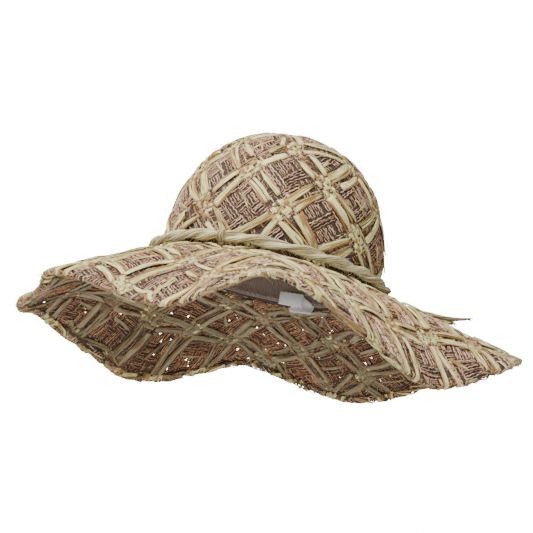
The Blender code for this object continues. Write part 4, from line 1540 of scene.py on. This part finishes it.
def brim_holes(angles, shares):
    """Which faces of the brim's ground weave are left out, mostly beside its bands."""
    origin, first, second = brim_axes()
    radius = SEAM_RADIUS + shares[:, None] * brim_wave(angles)[0][None]
    x = radius * np.cos(np.radians(angles))
    y = radius * np.sin(np.radians(angles))
    flat = np.stack([x - origin[0], y - origin[1]], -1)
    places = flat @ np.stack([first, second], -1) / BRIM_PITCH ** 2
    from_band = np.abs(places - np.round(places)) * BRIM_PITCH
    beside = (from_band > HOLES_BESIDE[0]) & (from_band < HOLES_BESIDE[1])
    open_places = beside.any(-1) & (from_band.min(-1) > HOLES_AWAY)
    patchy = np.sin(x * 310 + 2 * np.sin(y * 190)) * np.sin(y * 270 + 1.5) > 0.1
    within_cell = from_band.min(-1) > BAND_EDGE
    chance = np.where(open_places, BESIDE_CHANCE, np.where(within_cell, CELL_CHANCE, 0.0))
    return patchy & (RANDOM.uniform(size=x.shape) < chance)


def build_brim_ground(material):
    """The brim's middle, from a strip turned up inside the crown to the fold under its edge."""
    angles = np.arange(BRIM_COLUMNS) * 360 / BRIM_COLUMNS
    shares = np.linspace(0.0, 1.0, BRIM_RINGS)
    rows = [brim_surface(angles, np.full(BRIM_COLUMNS, share))[0] for share in shares]
    beyond = np.full(BRIM_COLUMNS, 2.0)
    for past in np.array(FOLD_STEPS) * FOLD_RADIUS * math.pi:
        rows.append(folded_brim(angles, beyond, np.full(BRIM_COLUMNS, past))[0])
    turned_up = crown_wall(angles, TURNED_UP, STRAW_THICKNESS + GAP)[0]
    foot = crown_wall(angles, 0.0, STRAW_THICKNESS + GAP)[0]
    foot[:, 2] = rows[0][:, 2]
    rows = np.stack([turned_up, foot, *rows])
    keep = np.ones((len(rows) - 1, BRIM_COLUMNS), bool)
    keep[2:BRIM_RINGS + 1] = ~brim_holes(angles, shares)[:-1]
    build_sheet("brim_ground_weave", rows, keep, material)


# ---------------------------------------------------------------- camera, floor and light
def look_at(location, target, roll=0.0):
    forward = (Vector(target) - Vector(location)).normalized()
    right = forward.cross(Vector((0, 0, 1))).normalized()
    up = right.cross(forward)
    turn = math.radians(roll)
    x = right * math.cos(turn) + up * math.sin(turn)
    y = -right * math.sin(turn) + up * math.cos(turn)
    placed = Matrix((x, y, -forward)).transposed().to_4x4()
    placed.translation = Vector(location)
    return placed


CAMERA_DISTANCE = 1.60
CAMERA_ELEVATION = -11.0
CAMERA_ROLL = 12.6
CAMERA_TARGET = (0.0, 0.0, 0.010)
CAMERA_NUDGE = (-0.0033, -0.0004)
LENS = 132.9
FLOOR_HEIGHT = -0.52
FLOOR_REACH = 6
LIGHTS = (                        # name, place, what it points at, size and watts
    ("key", (-1.15, -1.15, 1.65), (0, 0, 0.05), 1.2, 124),
    ("front", (0.1, -1.6, -0.25), (0, 0, 0), 0.7, 7.5),
    ("fill", (1.6, -1.2, 0.6), (0, 0, 0), 1.6, 10),
)
WORLD_LIGHT = 0.22
BACKDROP_LIGHT = 16.0             # the world as the camera sees it, which is white


def add_camera():
    camera = bpy.data.objects.new("camera", bpy.data.cameras.new("camera"))
    lean = math.radians(CAMERA_ELEVATION)
    offset = Vector((0, -math.cos(lean), math.sin(lean))) * CAMERA_DISTANCE
    placed = look_at(Vector(CAMERA_TARGET) + offset, CAMERA_TARGET, CAMERA_ROLL)
    placed.translation += placed.to_3x3() @ Vector((*CAMERA_NUDGE, 0))
    camera.matrix_world = placed
    camera.data.lens = LENS
    camera.data.sensor_width = 36
    camera.data.clip_end = 50
    bpy.context.scene.collection.objects.link(camera)
    bpy.context.scene.camera = camera


def add_area_light(name, location, target, size, power):
    light = bpy.data.lights.new(name, "AREA")
    light.size = size
    light.energy = power
    lamp = bpy.data.objects.new(name, light)
    lamp.matrix_world = look_at(location, target)
    bpy.context.scene.collection.objects.link(lamp)


def add_floor():
    mesh = bpy.data.meshes.new("floor")
    signs = ((-1, -1), (1, -1), (1, 1), (-1, 1))
    corners = [(x * FLOOR_REACH, y * FLOOR_REACH, FLOOR_HEIGHT) for x, y in signs]
    mesh.from_pydata(corners, [], [(0, 1, 2, 3)])
    material, _, shader = new_material("floor")
    shader.inputs["Base Color"].default_value = (0.78, 0.78, 0.77, 1)
    shader.inputs["Roughness"].default_value = 0.8
    mesh.materials.append(material)
    floor = bpy.data.objects.new("floor", mesh)
    bpy.context.scene.collection.objects.link(floor)


def add_studio():
    """The lights, and a world that lights the hat softly and is white behind it."""
    for light in LIGHTS:
        add_area_light(*light)
    world = bpy.data.worlds.new("studio")
    world.use_nodes = True
    tree = world.node_tree
    background = tree.nodes["Background"]
    background.inputs[0].default_value = (1, 1, 1, 1)
    background.inputs[1].default_value = WORLD_LIGHT
    seen = tree.nodes.new("ShaderNodeBackground")
    seen.inputs[0].default_value = (1, 1, 1, 1)
    seen.inputs[1].default_value = BACKDROP_LIGHT
    path = tree.nodes.new("ShaderNodeLightPath")
    mixer = tree.nodes.new("ShaderNodeMixShader")
    tree.links.new(path.outputs["Is Camera Ray"], mixer.inputs[0])
    tree.links.new(background.outputs[0], mixer.inputs[1])
    tree.links.new(seen.outputs[0], mixer.inputs[2])
    tree.links.new(mixer.outputs[0], tree.nodes["World Output"].inputs[0])
    bpy.context.scene.world = world


# ---------------------------------------------------------------- the hat
CROWN_PARTS = ("side_1", "side_2", "side_3", "side_4", "top")


def build_weave():
    strip = raffia_material("raffia_strip", *STRIP_COLOURS)
    # a darker copy of the strips' material for the underside: painted shade
    under = raffia_material("raffia_underside_shaded", *UNDERSIDE_SHADED_COLOURS)
    thread = thread_material("straw_thread", *STRAW_COLOURS)
    crown_strips, crown_threads = ([Pile() for _ in CROWN_PARTS] for _ in range(2))
    weave_crown(crown_strips, crown_threads)
    for k, place in enumerate(CROWN_PARTS):
        crown = crown_strips[k].build(f"crown_{place}_raffia_strips", strip, "woven_straw")
        crown_threads[k].build(f"crown_{place}_straw_threads", thread, "woven_straw")
    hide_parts("crown_shell")
    brim_strips, under_strips, brim_threads = ([Pile() for _ in range(4)] for _ in range(3))
    weave_brim(brim_strips, under_strips, brim_threads)
    for k in range(4):
        brim = brim_strips[k].build(f"brim_raffia_strips_{k + 1}", strip, "woven_straw")
        under_strips[k].build(f"brim_under_strips_{k + 1}", under, "woven_straw")
        brim_threads[k].build(f"brim_straw_threads_{k + 1}", thread, "woven_straw")
    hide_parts("brim_sheet")
    ground = core_material()
    build_crown_ground(ground)
    build_brim_ground(ground)


def build_trim():
    # the rope's larger share of ochre stain is partly real staining and partly painted shade
    # between its plies
    rope = raffia_material("rope_raffia", *ROPE_COLOURS, ochre_share=0.60)
    olive = raffia_material("olive_raffia", *OLIVE_COLOURS, ochre_share=0.4)
    border = raffia_material("border_raffia", *BORDER_COLOURS, ochre_share=0.55)
    cotton = cotton_material("sewing_cotton", *COTTON_COLOURS)
    white = cotton_material("label_cotton", *LABEL_COTTON_COLOURS)
    build_tails(rope, olive)
    build_rope(rope)
    build_knot(rope)
    build_keepers(rope)
    build_border(border)
    build_hem(cotton)
    band, flat = build_sweatband(rib_cloth_material())
    stitches = build_sweatband_stitches(cotton)
    satin = satin_material("care_label_satin", SATIN_WHITE, SATIN_WHITE, 0.01)
    # the brand label's grey upper half is painted shade
    half = BRAND_LABEL_SIZE[1] / 2
    half_shaded_satin = satin_material("brand_label_satin", SATIN_SHADED_GREY, SATIN_WHITE, half)
    build_labels(satin, half_shaded_satin, white)
    build_loose_fibres(rope)


add_camera()
add_floor()
add_studio()
build_trim()
build_weave()
